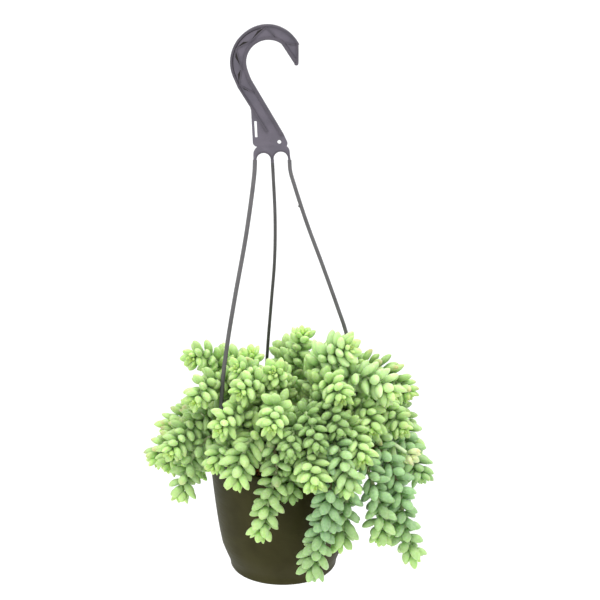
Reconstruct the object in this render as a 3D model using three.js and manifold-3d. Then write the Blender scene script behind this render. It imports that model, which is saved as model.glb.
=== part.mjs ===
// A burro's tail (a trailing succulent) growing in a hanging pot: a moulded pot, the potting
// mix that fills it, a one-piece hanger with a flat hook and three strands, and a mound of leafy
// tails, each a stem with its leaves set round it in a spiral.
//
// Millimetres, +Z up. The origin is the point of the hook's crook that bears on whatever it
// hangs from. +X is the plant's right, and -Y faces the viewer.

import * as THREE from 'three';
import { mergeVertices } from 'three/addons/utils/BufferGeometryUtils.js';
import Module from 'manifold-3d';

const wasm = await Module();
wasm.setup();

// ---------------------------------------------------------------- driving dimensions

// Pot, measured in its own frame: the axis is x = y = 0 and the underside is z = 0.
const POT_HEIGHT = 124;
const RIM_RADIUS = 76;
const LIP_DEPTH = 5.4;
const WALL_TOP_RADIUS = 73;
const FOOT_RADIUS = 54;
const FOOT_HEIGHT = 9;
const BASE_RADIUS = 51.5;
const SIDE_BULGE = 0.48;
const WALL = 1.6;
const FLOOR = 2;
const POT_SIDES = 36;
const DRAIN_COUNT = 6;
const DRAIN_RADIUS = 4;
const DRAIN_RING = 34;
const DRAIN_SIDES = 10;

// Potting mix.
const MIX_TOP = 112;
const MIX_DOME = 1.5;
const STEM_SOCKET_DEPTH = 16;
const SOCKET_CUT_HEIGHT = 26;
const STEM_SOCKET_GAP = 0.6;
const SOCKET_SIDES = 5;
const STRAIGHT_RISE = 12;

// Clearance kept between pieces that lie against each other.
const GAP = 0.3;

// Hook plate, in the x-z plane of the pot frame, with the crook's two arcs.
const OUTER_ARC = { x: -13.4, z: 505.8, radius: 34, from: 29, to: 205 };
const INNER_ARC = { x: -11.8, z: 505.8, radius: 20.7, from: 56, to: 205 };
const ARCH_LEFT = { x: -17.1, z: 415, radius: 6.7 };
const ARCH_RIGHT = { x: -1, z: 416.3, radius: 6.7 };
const WEB_THICKNESS = 2.4;
const RIB_THICKNESS = 5;
const RIB_WIDTH = 2;
const GUSSET_THICKNESS = 4.2;
const GUSSET_WIDTH = 1.2;
const STRAND_THICKNESS = 2.6;
const STUB_FOOT = 412.5;

// Clip at the foot of each strand, which grips the pot's lip.
const CLIP_WIDTH = 8;
const CLIP_THICKNESS = 2.1;

// Stems and leaves. Leaves stand larger than life and further apart than on the plant.
const TURN = THREE.MathUtils.degToRad(137.508);
const STEM_RADIUS = 2.4;
const CORE_RADIUS = 3.2;
const TIP_RADIUS = 1.3;
const BARE_STEP = 8;
const BARE_LENGTH = 56;
const BARE_SHARE = 0.45;
const LEAF_STEP = 3.95;
const TIP_STEP = 2.5;
const TIP_LENGTH = 16;
const LEAF_LENGTH = 16;
const TIP_LEAF_LENGTH = 10;
const LEAF_WIDTH_SHARE = 0.74;
const LEAF_DEPTH_SHARE = 0.62;
const BELLY_PLACE = 0.64;
const OLD_LEAF_TILT = 64;
const TIP_LEAF_TILT = 34;
const BUD_LENGTH = 4;
const LEAFY_RISE = 12;
const LEAF_FOOT_REACH = 4.2;
const LOWEST_LEAF = 3;

const COLOURS = {
  pot: 0x45432f,
  mix: 0x3b2b1c,
  hanger: 0x77717b,
  leafYoung: 0xbfdc86,
  leafOld: 0x86b184,
};

// ---------------------------------------------------------------- solids

/** A solid from a closed geometry, with its shared vertices joined. */
function solidOf(geometry) {
  const bare = geometry.clone();
  bare.deleteAttribute('normal');
  bare.deleteAttribute('uv');
  const closed = mergeVertices(bare, 1e-4);
  const vertProperties = new Float32Array(closed.attributes.position.array);
  const triVerts = new Uint32Array(closed.index.array);
  return new wasm.Manifold(new wasm.Mesh({ numProp: 3, vertProperties, triVerts }));
}

/** The geometry of a solid. */
function geometryOf(solid) {
  const mesh = solid.getMesh();
  const geometry = new THREE.BufferGeometry();
  geometry.setAttribute('position', new THREE.BufferAttribute(mesh.vertProperties, 3));
  geometry.setIndex(new THREE.BufferAttribute(mesh.triVerts, 1));
  return geometry;
}

/** All the solids joined into the first. */
function joined(solids) {
  return solids.reduce((whole, piece) => whole.add(piece));
}

/** The first solid with the others cut out of it. */
function cut(whole, cutters) {
  return cutters.reduce((rest, cutter) => rest.subtract(cutter), whole);
}

function namedMesh(name, geometry, colour, roughness) {
  const material = new THREE.MeshStandardMaterial({ color: colour, roughness, metalness: 0 });
  const mesh = new THREE.Mesh(geometry, material);
  mesh.name = name;
  return mesh;
}

/** A solid turned about the pot's axis from a closed profile of [radius, height] points. */
function turned(profile, sides) {
  const points = profile.map(([radius, height]) => new THREE.Vector2(radius, height));
  const geometry = new THREE.LatheGeometry(points, sides);
  geometry.rotateX(Math.PI / 2);
  return solidOf(geometry);
}

/** An upright prism with its foot at the given place. */
function upright(radius, height, sides, [x, y, z]) {
  const geometry = new THREE.CylinderGeometry(radius, radius, height, sides);
  geometry.rotateX(Math.PI / 2);
  geometry.translate(x, y, z + height / 2);
  return solidOf(geometry);
}

function polar(degrees, radius) {
  const angle = THREE.MathUtils.degToRad(degrees);
  return [radius * Math.cos(angle), radius * Math.sin(angle)];
}

// ---------------------------------------------------------------- pot and potting mix

/** Outside radius of the pot's slightly bulging wall at a height. */
function wallRadius(height) {
  if (height <= FOOT_HEIGHT) {
    return FOOT_RADIUS;
  }
  const share = (height - FOOT_HEIGHT) / (POT_HEIGHT - LIP_DEPTH - FOOT_HEIGHT);
  return FOOT_RADIUS + (WALL_TOP_RADIUS - FOOT_RADIUS) * share ** SIDE_BULGE;
}

const WALL_LEVELS = [FOOT_HEIGHT, 14, 28, 52, 84, POT_HEIGHT - LIP_DEPTH];

function potGeometry() {
  const outside = WALL_LEVELS.map((height) => [wallRadius(height), height]);
  const inside = WALL_LEVELS.slice(1).map((height) => [wallRadius(height) - WALL, height]);
  const lipFoot = POT_HEIGHT - LIP_DEPTH;
  const profile = [
    [0, 0],
    [BASE_RADIUS, 0],
    [FOOT_RADIUS - 0.4, 2],
    ...outside,
    [RIM_RADIUS, lipFoot],
    [RIM_RADIUS, POT_HEIGHT - 1],
    [RIM_RADIUS - 1, POT_HEIGHT],
    [WALL_TOP_RADIUS - WALL, POT_HEIGHT],
    ...inside.reverse(),
    [FOOT_RADIUS - WALL, FOOT_HEIGHT],
    [FOOT_RADIUS - 2 * WALL, FLOOR],
    [0, FLOOR],
  ];
  const drains = Array.from({ length: DRAIN_COUNT }, (_, index) => {
    const [x, y] = polar((index * 360) / DRAIN_COUNT, DRAIN_RING);
    return upright(DRAIN_RADIUS, FLOOR * 3, DRAIN_SIDES, [x, y, -FLOOR]);
  });
  return geometryOf(cut(turned(profile, POT_SIDES), drains));
}

function mixGeometry(stemFeet) {
  const levels = WALL_LEVELS.slice(1).filter((height) => height < MIX_TOP);
  const side = [...levels, MIX_TOP].map((height) => [wallRadius(height) - WALL - GAP, height]);
  const profile = [
    [0, FLOOR + GAP],
    [FOOT_RADIUS - 2 * WALL - GAP, FLOOR + GAP],
    [FOOT_RADIUS - WALL - GAP, FOOT_HEIGHT],
    ...side,
    [RIM_RADIUS / 2, MIX_TOP + MIX_DOME],
    [0, MIX_TOP + MIX_DOME],
  ];
  const socketRadius = (STEM_RADIUS + STEM_SOCKET_GAP) / Math.cos(Math.PI / SOCKET_SIDES);
  const sockets = stemFeet.map((foot) =>
    upright(socketRadius, SOCKET_CUT_HEIGHT, SOCKET_SIDES, [foot.x, foot.y, foot.z - GAP]));
  return geometryOf(cut(turned(profile, POT_SIDES / 2), sockets));
}

// ---------------------------------------------------------------- hanger

/** Points [x, z] along an arc of the hook plate, from one angle to another in degrees. */
function arcPoints(arc, from, to, steps) {
  return Array.from({ length: steps + 1 }, (_, index) => {
    const [dx, dz] = polar(from + ((to - from) * index) / steps, arc.radius);
    return [arc.x + dx, arc.z + dz];
  });
}

/** A flat bar in the x-z plane, centred on y = 0, from an outline of [x, z] points. */
function plate(outline, thickness, holes = []) {
  const shape = new THREE.Shape(outline.map(([x, z]) => new THREE.Vector2(x, z)));
  shape.holes = holes.map((hole) => new THREE.Path(hole.map(([x, z]) => new THREE.Vector2(x, z))));
  const geometry = new THREE.ExtrudeGeometry(shape, { depth: thickness, bevelEnabled: false });
  geometry.translate(0, 0, -thickness / 2);
  geometry.rotateX(Math.PI / 2);
  return solidOf(geometry);
}

/** A rib along a line of [x, z] points, with its width on the line's right-hand side. */
function rib(line, width, thickness) {
  const inner = line.map(([x, z], index) => {
    const [ax, az] = line[Math.max(index - 1, 0)];
    const [bx, bz] = line[Math.min(index + 1, line.length - 1)];
    const length = Math.hypot(bx - ax, bz - az);
    return [x + ((bz - az) / length) * width, z - ((bx - ax) / length) * width];
  });
  return plate([...line, ...inner.reverse()], thickness);
}

/** A straight stiffening bar between two [x, z] points. */
function gusset([ax, az], [bx, bz]) {
  const length = Math.hypot(bx - ax, bz - az);
  const dx = ((bz - az) / length) * (GUSSET_WIDTH / 2);
  const dz = (-(bx - ax) / length) * (GUSSET_WIDTH / 2);
  const outline = [[ax + dx, az + dz], [bx + dx, bz + dz], [bx - dx, bz - dz], [ax - dx, az - dz]];
  return plate(outline, GUSSET_THICKNESS);
}

const TIP_EDGE = [[15.6, 522.2], [15.7, 505.8], [14.9, 503.8], [13.4, 503.2], [12.1, 504.2]];
const SHANK_OUTER = [[-40.6, 483], [-29.5, 465.2]];
const SHANK_INNER = [[-29.5, 491.1], [1.9, 439], [5.2, 431.8]];

/** The hook's flat plate with its raised edge ribs and the zig-zag of gussets between them. */
function hookPlate() {
  const outerArc = arcPoints(OUTER_ARC, OUTER_ARC.from, OUTER_ARC.to, 13);
  const innerArc = arcPoints(INNER_ARC, INNER_ARC.from, INNER_ARC.to, 9);
  const outline = [
    [-23.1, 427.7],
    [-26.1, 429.1],
    [-27.2, 431.5],
    [-28.5, 461.5],
    ...[...SHANK_OUTER].reverse(),
    ...[...outerArc].reverse(),
    ...TIP_EDGE,
    ...innerArc,
    ...SHANK_INNER,
    [4.6, 428],
    [7.1, 424.4],
    [7.5, 420.1],
    [8.6, STUB_FOOT],
    [5.7, STUB_FOOT],
    ...arcPoints(ARCH_RIGHT, 0, 180, 6),
    [-7.7, STUB_FOOT],
    [-10.4, STUB_FOOT],
    ...arcPoints(ARCH_LEFT, 0, 180, 6),
    [-23.8, STUB_FOOT],
    [-26.8, STUB_FOOT],
    [-26.8, 420.1],
    [-25.9, 424],
  ];
  const slot = [[-25.9, 451.6], [-23.2, 451.6], [-22.6, 436.4], [-25.2, 436.4]];
  const eye = arcPoints({ x: -2.4, z: 432.1, radius: 1.8 }, 0, 315, 7);
  const web = plate(outline.reverse(), WEB_THICKNESS, [slot, eye]);

  const outerRib = rib([[15.6, 507], [15.6, 522.2], ...outerArc, ...SHANK_OUTER, [-14.3, 440.9]]
    .reverse(), RIB_WIDTH, RIB_THICKNESS);
  const innerRib = rib([[12.1, 504.2], ...innerArc, SHANK_INNER[0], SHANK_INNER[1]],
    RIB_WIDTH, RIB_THICKNESS);
  const nodes = [
    [13.8, 521.4], [-3.6, 526.6], [-14.2, 537.6], [-24.8, 523.6], [-40.4, 520.6], [-34, 505],
    [-42.4, 486.5], [-24, 479],
  ];
  const gussets = nodes.slice(1).map((node, index) => gusset(nodes[index], node));
  return joined([web, outerRib, innerRib, ...gussets]);
}

// Each strand runs from its stub on the plate down to the clip on the lip.
const CLIPS = [
  { angle: 224, width: 3.8, line: [[-25.3, 0, 415], [-25.7, -2, 405], [-28, -6.5, 385], [-34.5, -14.5, 342],
    [-45, -25, 286], [-52.6, -32.5, 241], [-57.5, -40, 200], [-58.2, -46, 160]] },
  { angle: 104, width: 3, line: [[-9, 0, 415], [-8.4, 6, 399], [-7, 17, 355], [-8, 29.5, 309],
    [-11.7, 40.5, 263], [-15.8, 51.5, 213], [-18.6, 63, 162]] },
  { angle: 344, width: 3.4, line: [[7.1, 0, 415], [7.8, -1.3, 405], [11.8, -2.7, 391], [23.2, -5.4, 356],
    [37.8, -8, 316.5], [54, -11, 271], [61, -12.5, 250], [71.5, -17, 200], [74.6, -19.5, 160]] },
];

function strandCurve(clip) {
  const [x, y] = polar(clip.angle, RIM_RADIUS - 1.4);
  const points = [...clip.line, [x, y, POT_HEIGHT + CLIP_THICKNESS / 2]];
  return new THREE.CatmullRomCurve3(points.map((point) => new THREE.Vector3(...point)));
}

function strand(clip) {
  const section = new THREE.Shape(Array.from({ length: 6 }, (_, index) => {
    const [x, y] = polar(index * 60, 0.5);
    return new THREE.Vector2(x * STRAND_THICKNESS, y * clip.width);
  }));
  const extrudePath = strandCurve(clip);
  return solidOf(new THREE.ExtrudeGeometry(section, { steps: 20, bevelEnabled: false, extrudePath }));
}

/** A clip that wraps the pot's lip, drawn in the radial plane and turned to its angle. */
function lipClip(clip) {
  const lipFoot = POT_HEIGHT - LIP_DEPTH;
  const top = POT_HEIGHT + GAP + CLIP_THICKNESS;
  const outside = RIM_RADIUS + GAP + CLIP_THICKNESS;
  const innerFace = WALL_TOP_RADIUS - WALL - 2 * GAP;
  const outline = [
    [innerFace - CLIP_THICKNESS, lipFoot],
    [innerFace, lipFoot],
    [innerFace, POT_HEIGHT + GAP],
    [RIM_RADIUS + GAP, POT_HEIGHT + GAP],
    [RIM_RADIUS + GAP, lipFoot - GAP],
    [WALL_TOP_RADIUS + 0.6, lipFoot - GAP],
    [WALL_TOP_RADIUS + 1.4, lipFoot - GAP - CLIP_THICKNESS],
    [outside - 0.6, lipFoot - GAP - CLIP_THICKNESS],
    [outside, lipFoot - GAP - 1],
    [outside, top - 0.8],
    [outside - 0.8, top],
    [innerFace - CLIP_THICKNESS, top],
  ];
  const shape = new THREE.Shape(outline.map(([radius, z]) => new THREE.Vector2(radius, z)));
  const geometry = new THREE.ExtrudeGeometry(shape, { depth: CLIP_WIDTH, bevelEnabled: false });
  geometry.translate(0, 0, -CLIP_WIDTH / 2);
  geometry.rotateX(Math.PI / 2);
  geometry.rotateZ(THREE.MathUtils.degToRad(clip.angle));
  return solidOf(geometry);
}

function hangerGeometry() {
  return geometryOf(joined([hookPlate(), ...CLIPS.map(strand), ...CLIPS.map(lipClip)]));
}

// ---------------------------------------------------------------- tails

// Each tail: its name, where its stem stands in the mix (angle in degrees from +X, distance from
// the axis), then the points that it passes on its way to the tip.
const TAILS = [
  ['left_1', 180, 36, [[-52, 10, 190], [-66, 10, 212], [-79, -1, 222], [-88, -14, 222]]],
  ['left_2', 208, 38, [[-52, -24, 200], [-66, -32, 206], [-76, -45, 202], [-83, -58, 194]]],
  ['left_3', 200, 56, [[-66, -26, 170], [-86, -39, 164], [-99, -53, 154], [-106, -66, 144]]],
  ['left_4', 178, 57, [[-79, 6, 158], [-101, -2, 143], [-116, -10, 130], [-127, -18, 116]]],
  ['left_5', 162, 48, [[-77, 34, 158], [-92, 30, 152], [-107, 24, 144], [-120, 17, 135]]],
  ['left_6', 215, 58, [[-66, -42, 154], [-84, -50, 140], [-93, -55, 118], [-98, -60, 96]]],
  ['left_7', 212, 20, [[-26, -22, 198], [-32, -32, 216], [-44, -44, 224]]],
  ['left_8', 236, 36, [[-20, -48, 208], [-32, -62, 213], [-39, -76, 209]]],
  ['left_9', 238, 50, [[-38, -64, 188], [-50, -76, 186], [-58, -90, 178]]],
  ['left_10', 226, 60, [[-46, -64, 158], [-57, -76, 151], [-65, -88, 139]]],
  ['left_11', 168, 60, [[-84, 22, 142], [-98, 40, 118], [-104, 44, 90]]],
  ['left_12', 189, 60, [[-80, -14, 148], [-100, -26, 136], [-114, -36, 118]]],
  ['top_1', 250, 20, [[0, -22, 192], [-4, -34, 212], [-8, -52, 222]]],
  ['top_2', 195, 12, [[-33, -6, 193], [-33, -8, 210], [-29, -12, 229]]],
  ['top_3', 60, 12, [[10, 22, 190], [15, 22, 215], [20, 19, 240]]],
  ['top_4', 340, 24, [[36, -16, 218], [51, -25, 234], [65, -37, 242]]],
  ['front_1', 264, 42, [[-4, -74, 198], [-7, -88, 193], [-9, -102, 184]]],
  ['front_2', 293, 60, [[34, -76, 164], [44, -98, 141], [44, -102, 112], [36, -98, 74], [27, -95, 35]]],
  ['front_3', 307, 60, [[51, -66, 153], [60, -80, 125], [60, -80, 88], [54, -78, 55]]],
  ['front_4', 268, 59, [[-9, -80, 169], [-5, -94, 145], [-13, -98, 110], [-21, -97, 74]]],
  ['front_5', 249, 59, [[-24, -78, 170], [-37, -91, 153], [-43, -99, 127]]],
  ['front_6', 286, 52, [[22, -84, 161], [27, -104, 148], [31, -118, 134]]],
  ['front_7', 316, 50, [[60, -64, 174], [70, -79, 161], [75, -92, 148]]],
  ['front_8', 274, 40, [[12, -82, 180], [9, -96, 171], [7, -108, 159]]],
  ['front_9', 298, 36, [[22, -74, 190], [29, -92, 179], [33, -106, 165]]],
  ['front_10', 302, 48, [[49, -84, 163], [58, -98, 147], [62, -104, 122]]],
  ['front_11', 278, 62, [[7, -78, 156], [8, -88, 134], [9, -90, 110]]],
  ['front_12', 308, 30, [[38, -56, 198], [49, -78, 188], [53, -92, 174]]],
  ['right_1', 322, 34, [[36, -38, 206], [50, -60, 211], [56, -76, 203]]],
  ['right_2', 4, 40, [[52, -16, 194], [70, -34, 213], [92, -40, 207], [105, -46, 196]]],
  ['right_3', 24, 42, [[73, 44, 195], [94, 42, 195], [113, 32, 184], [127, 22, 170]]],
  ['right_4', 14, 58, [[103, 30, 166], [118, 26, 150], [127, 18, 130], [130, 14, 112]]],
  ['right_5', 2, 59, [[101, -2, 158], [120, -4, 132], [131, -10, 111], [138, -18, 98]]],
  ['right_6', 332, 54, [[86, -34, 154], [103, -38, 147], [116, -44, 140], [126, -50, 134]]],
  ['right_7', 326, 61, [[88, -46, 144], [105, -54, 124], [114, -56, 93], [119, -56, 62], [128, -54, 29]]],
  ['right_8', 317, 61, [[72, -60, 143], [85, -72, 120], [93, -74, 92], [95, -72, 58]]],
  ['right_9', 350, 60, [[82, -12, 146], [103, -26, 112], [109, -32, 76], [107, -36, 47]]],
  ['right_10', 336, 38, [[68, -32, 184], [82, -46, 178], [86, -62, 165]]],
  ['right_11', 348, 44, [[91, -12, 179], [107, -24, 168], [117, -38, 156]]],
  ['back_1', 38, 58, [[66, 56, 165], [92, 72, 150], [104, 80, 105], [106, 80, 55]]],
  ['back_2', 58, 38, [[44, 66, 196], [60, 92, 186], [68, 104, 160]]],
  ['back_3', 74, 60, [[26, 76, 166], [32, 98, 148], [34, 104, 105], [34, 102, 50]]],
  ['back_4', 92, 36, [[2, 62, 200], [4, 92, 194], [6, 112, 172]]],
  ['back_5', 112, 60, [[-34, 78, 164], [-44, 98, 142], [-48, 102, 95], [-46, 100, 50]]],
  ['back_6', 128, 36, [[-46, 60, 192], [-66, 80, 184], [-76, 92, 158]]],
  ['back_7', 146, 60, [[-68, 58, 158], [-88, 74, 138], [-94, 78, 95], [-92, 76, 60]]],
  ['back_8', 26, 60, [[84, 36, 150], [112, 44, 120], [118, 46, 70]]],
  ['back_9', 100, 18, [[8, 34, 192], [14, 48, 208], [20, 62, 212]]],
  ['back_10', 150, 22, [[-34, 26, 194], [-50, 36, 206], [-66, 44, 205]]],
  ['back_11', 40, 26, [[40, 34, 202], [56, 44, 213], [72, 52, 208]]],
];

/** A tail's route, straight up out of its socket and then through its own points. */
function routeOf([name, angle, distance, passes]) {
  const [x, y] = polar(angle, distance);
  const footHeight = MIX_TOP - STEM_SOCKET_DEPTH;
  const points = [[x, y, footHeight], [x, y, MIX_TOP], [x, y, MIX_TOP + STRAIGHT_RISE], ...passes];
  const curve = new THREE.CatmullRomCurve3(points.map((point) => new THREE.Vector3(...point)));
  curve.arcLengthDivisions = 400;
  return { name, curve, length: curve.getLength(), foot: new THREE.Vector3(x, y, footHeight) };
}

/** Distances along a stem at which its spiral of points stands: far apart where it is bare. */
function stationsOf(length) {
  const bareEnd = STEM_SOCKET_DEPTH + Math.min(BARE_LENGTH, BARE_SHARE * length);
  const stations = [];
  let place = 0;
  let firstLeaf = 0;
  while (place <= length) {
    stations.push(place);
    if (place < bareEnd) {
      place += BARE_STEP;
      firstLeaf = stations.length;
    } else {
      const nearTip = THREE.MathUtils.clamp((length - place) / TIP_LENGTH, 0, 1);
      place += THREE.MathUtils.lerp(TIP_STEP, LEAF_STEP, nearTip);
    }
  }
  return { stations, firstLeaf };
}

/** Points, directions and sideways axes along a route, turned as little as the bends allow. */
function framesAlong(route, stations) {
  const frames = [];
  let side = new THREE.Vector3(1, 0, 0);
  stations.forEach((place) => {
    const share = place / route.length;
    const along = route.curve.getTangentAt(share);
    side = side.clone().addScaledVector(along, -side.dot(along)).normalize();
    const across = new THREE.Vector3().crossVectors(along, side);
    frames.push({ point: route.curve.getPointAt(share), along, side, across, place });
  });
  return frames;
}

/** The direction away from the stem at an angle round it. */
function outward(frame, angle) {
  return frame.side.clone().multiplyScalar(Math.cos(angle))
    .addScaledVector(frame.across, Math.sin(angle));
}

/** How far a place is from the tip: 0 at the tip, 1 from TIP_LENGTH away. */
function age(route, place) {
  return THREE.MathUtils.clamp((route.length - place) / TIP_LENGTH, 0, 1);
}

function stemRadiusAt(route, place, leafStart) {
  if (place < leafStart) {
    return STEM_RADIUS;
  }
  const young = age(route, place);
  const leafy = THREE.MathUtils.clamp((place - leafStart) / LEAFY_RISE, 0, 1);
  const core = THREE.MathUtils.lerp(STEM_RADIUS, CORE_RADIUS, leafy);
  return THREE.MathUtils.lerp(TIP_RADIUS, core, young ** 0.7);
}

/** A stem ready for its leaves: a spiral of points round the route. */
function stemOf(tail) {
  const route = routeOf(tail);
  const { stations, firstLeaf } = stationsOf(route.length);
  const frames = framesAlong(route, stations);
  const leafStart = stations[firstLeaf];
  const radii = stations.map((place) => stemRadiusAt(route, place, leafStart));
  const points = frames.map((frame, index) =>
    frame.point.clone().addScaledVector(outward(frame, index * TURN), radii[index]));
  return { ...route, frames, radii, points, firstLeaf, leaves: [] };
}

/** A leaf's spine and size on the cell of the spiral that starts at a point's number. */
function leafOn(stem, index, scale, lean) {
  const corners = [index, index + 1, index + 3, index + 2].map((corner) => stem.points[corner]);
  const root = corners.reduce((sum, corner) => sum.add(corner), new THREE.Vector3())
    .multiplyScalar(0.25);
  const frame = stem.frames[index + 1];
  const middle = frame.point.clone().lerp(stem.frames[index + 2].point, 0.5);
  const away = root.clone().sub(middle);
  away.addScaledVector(frame.along, -away.dot(frame.along)).normalize();
  const young = age(stem, frame.place);
  const tilt = THREE.MathUtils.degToRad(
    THREE.MathUtils.lerp(TIP_LEAF_TILT, OLD_LEAF_TILT, young ** 0.6) + lean);
  const spine = frame.along.clone().multiplyScalar(Math.cos(tilt))
    .addScaledVector(away, Math.sin(tilt));
  const length = THREE.MathUtils.lerp(TIP_LEAF_LENGTH, LEAF_LENGTH, young) * scale;
  const sideways = new THREE.Vector3().crossVectors(frame.along, away).normalize();
  const upper = new THREE.Vector3().crossVectors(spine, sideways);
  return { index, root, spine, length, sideways, upper };
}

/** Balls that enclose a leaf, from its root to its point. */
function leafBalls(leaf) {
  const half = (leaf.length * LEAF_WIDTH_SHARE) / 2;
  return [0.15, 0.3, 0.48, BELLY_PLACE, 0.76, 0.88, 1].map((share) => {
    const radius = share < BELLY_PLACE
      ? THREE.MathUtils.lerp(LEAF_FOOT_REACH, half, share / BELLY_PLACE)
      : THREE.MathUtils.lerp(half, 0.3, (share - BELLY_PLACE) / (1 - BELLY_PLACE));
    const centre = leaf.root.clone().addScaledVector(leaf.spine, leaf.length * share);
    return { centre, radius, share };
  });
}

// ---------------------------------------------------------------- keeping pieces apart

// The edge of a search cell, the ball round a clip, and how near the pot a leaf is tested for it.
const BIN = 8;
const CLIP_BALL = 8;
const NEAR_POT = 12;

/** A store of balls in space that answers which are near a ball. */
class Crowd {
  bins = new Map();

  key(x, y, z) {
    return `${Math.floor(x / BIN)},${Math.floor(y / BIN)},${Math.floor(z / BIN)}`;
  }

  add(ball) {
    const key = this.key(ball.centre.x, ball.centre.y, ball.centre.z);
    if (!this.bins.has(key)) {
      this.bins.set(key, []);
    }
    this.bins.get(key).push(ball);
  }

  /** True if the ball meets a stored one that counts. */
  meets(ball, counts) {
    const reach = ball.radius + CLIP_BALL + GAP;
    const { x, y, z } = ball.centre;
    for (let bx = x - reach; bx < x + reach + BIN; bx += BIN) {
      for (let by = y - reach; by < y + reach + BIN; by += BIN) {
        for (let bz = z - reach; bz < z + reach + BIN; bz += BIN) {
          const near = this.bins.get(this.key(bx, by, bz)) ?? [];
          const hit = near.some((other) => counts(other)
            && other.centre.distanceTo(ball.centre) < other.radius + ball.radius + GAP);
          if (hit) {
            return true;
          }
        }
      }
    }
    return false;
  }
}

/** Distance from a point to the pot's wall and lip, in the plane through the axis. */
function potDistance(centre) {
  const radius = Math.hypot(centre.x, centre.y);
  const lipFoot = POT_HEIGHT - LIP_DEPTH;
  const profile = [[0, 0], [FOOT_RADIUS, 0], ...WALL_LEVELS.map((z) => [wallRadius(z), z]),
    [RIM_RADIUS, lipFoot], [RIM_RADIUS, POT_HEIGHT], [WALL_TOP_RADIUS - WALL, POT_HEIGHT],
    [WALL_TOP_RADIUS - WALL, MIX_TOP]];
  const place = new THREE.Vector3(radius, centre.z, 0);
  const nearest = new THREE.Vector3();
  return Math.min(...profile.slice(1).map(([r, z], index) => {
    const [fromR, fromZ] = profile[index];
    const line = new THREE.Line3(new THREE.Vector3(fromR, fromZ, 0), new THREE.Vector3(r, z, 0));
    line.closestPointToPoint(place, true, nearest);
    return nearest.distanceTo(place);
  }));
}

/** True if a ball touches the pot or the mix, or hangs lower than the pot's underside. */
function meetsPot({ centre, radius }) {
  const radial = Math.hypot(centre.x, centre.y);
  const inMix = radial < WALL_TOP_RADIUS && centre.z - radius < MIX_TOP + MIX_DOME + GAP;
  const tooLow = centre.z - radius < LOWEST_LEAF;
  const beside = centre.z < POT_HEIGHT + NEAR_POT && potDistance(centre) < radius + 2 * GAP;
  return inMix || tooLow || beside;
}

/** Balls along a curve, about two millimetres apart. */
function ballsAlong(curve, radius, owner) {
  const count = Math.ceil(curve.getLength() / 2);
  return Array.from({ length: count + 1 }, (_, index) =>
    ({ centre: curve.getPointAt(index / count), radius, owner, share: 0 }));
}

const LEAF_TRIES = [[1, 0], [0.88, 0], [0.88, 14], [0.88, -14], [0.76, 0], [0.76, 16], [0.76, -18],
  [0.64, 0], [0.64, -24], [0.54, 0], [0.54, -28]];

/** Puts a leaf on a cell of a stem at the largest size that stays clear of all else. */
function growLeaf(stem, index, crowd) {
  LEAF_TRIES.some(([scale, lean]) => {
    const leaf = leafOn(stem, index, scale, lean);
    const balls = leafBalls(leaf).map((ball) => ({ ...ball, owner: stem.name }));
    const blocked = balls.some((ball) => meetsPot(ball) || crowd.meets(ball, (other) =>
      other.owner !== stem.name || (other.share >= BELLY_PLACE && ball.share >= BELLY_PLACE)));
    if (!blocked) {
      balls.forEach((ball) => crowd.add(ball));
      stem.leaves[index] = leaf;
    }
    return !blocked;
  });
}

/** Grows every tail's leaves, from all the tips backwards, so that no tail starves another. */
function growLeaves(stems) {
  const crowd = new Crowd();
  stems.forEach((stem) => ballsAlong(stem.curve, CORE_RADIUS, stem.name)
    .forEach((ball) => crowd.add(ball)));
  CLIPS.forEach((clip) => {
    ballsAlong(strandCurve(clip), clip.width / 2, 'hanger').forEach((ball) => crowd.add(ball));
    const [x, y] = polar(clip.angle, RIM_RADIUS - 2);
    const centre = new THREE.Vector3(x, y, POT_HEIGHT - 2);
    crowd.add({ centre, radius: CLIP_BALL, owner: 'hanger', share: 0 });
  });
  const longest = Math.max(...stems.map((stem) => stem.points.length));
  for (let back = 4; back < longest; back += 1) {
    stems.forEach((stem) => {
      const index = stem.points.length - back;
      if (index >= stem.firstLeaf) {
        growLeaf(stem, index, crowd);
      }
    });
  }
}

/** A tail's closed surface: the spiral's cells, with a leaf raised on each cell that has one. */
function tailGeometry(stem) {
  const vertices = stem.points.flatMap((point) => point.toArray());
  const faces = [];
  const addVertex = (point) => {
    vertices.push(...point.toArray());
    return vertices.length / 3 - 1;
  };
  const last = stem.points.length - 1;
  for (let index = 0; index <= last - 3; index += 1) {
    const base = [index, index + 1, index + 3, index + 2];
    const leaf = stem.leaves[index];
    if (!leaf) {
      faces.push(base[0], base[1], base[2], base[0], base[2], base[3]);
      continue;
    }
    const belly = leaf.root.clone().addScaledVector(leaf.spine, leaf.length * BELLY_PLACE);
    const width = (leaf.length * LEAF_WIDTH_SHARE) / 2;
    const depth = (leaf.length * LEAF_DEPTH_SHARE) / 2;
    const ring = [
      belly.clone().addScaledVector(leaf.upper, -depth),
      belly.clone().addScaledVector(leaf.sideways, width),
      belly.clone().addScaledVector(leaf.upper, depth),
      belly.clone().addScaledVector(leaf.sideways, -width),
    ].map(addVertex);
    const apex = addVertex(leaf.root.clone().addScaledVector(leaf.spine, leaf.length));
    for (let side = 0; side < 4; side += 1) {
      const next = (side + 1) % 4;
      faces.push(base[side], base[next], ring[next], base[side], ring[next], ring[side]);
      faces.push(ring[side], ring[next], apex);
    }
  }
  faces.push(0, 2, 1);
  const tipFrame = stem.frames[last];
  const bud = addVertex(tipFrame.point.clone().addScaledVector(tipFrame.along, BUD_LENGTH));
  faces.push(last - 2, last - 1, bud, last - 1, last, bud, last, last - 2, bud);

  const geometry = new THREE.BufferGeometry();
  geometry.setAttribute('position', new THREE.Float32BufferAttribute(vertices, 3));
  geometry.setIndex(faces);
  geometry.computeVertexNormals();
  return geometry;
}

// ---------------------------------------------------------------- the plant

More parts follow.
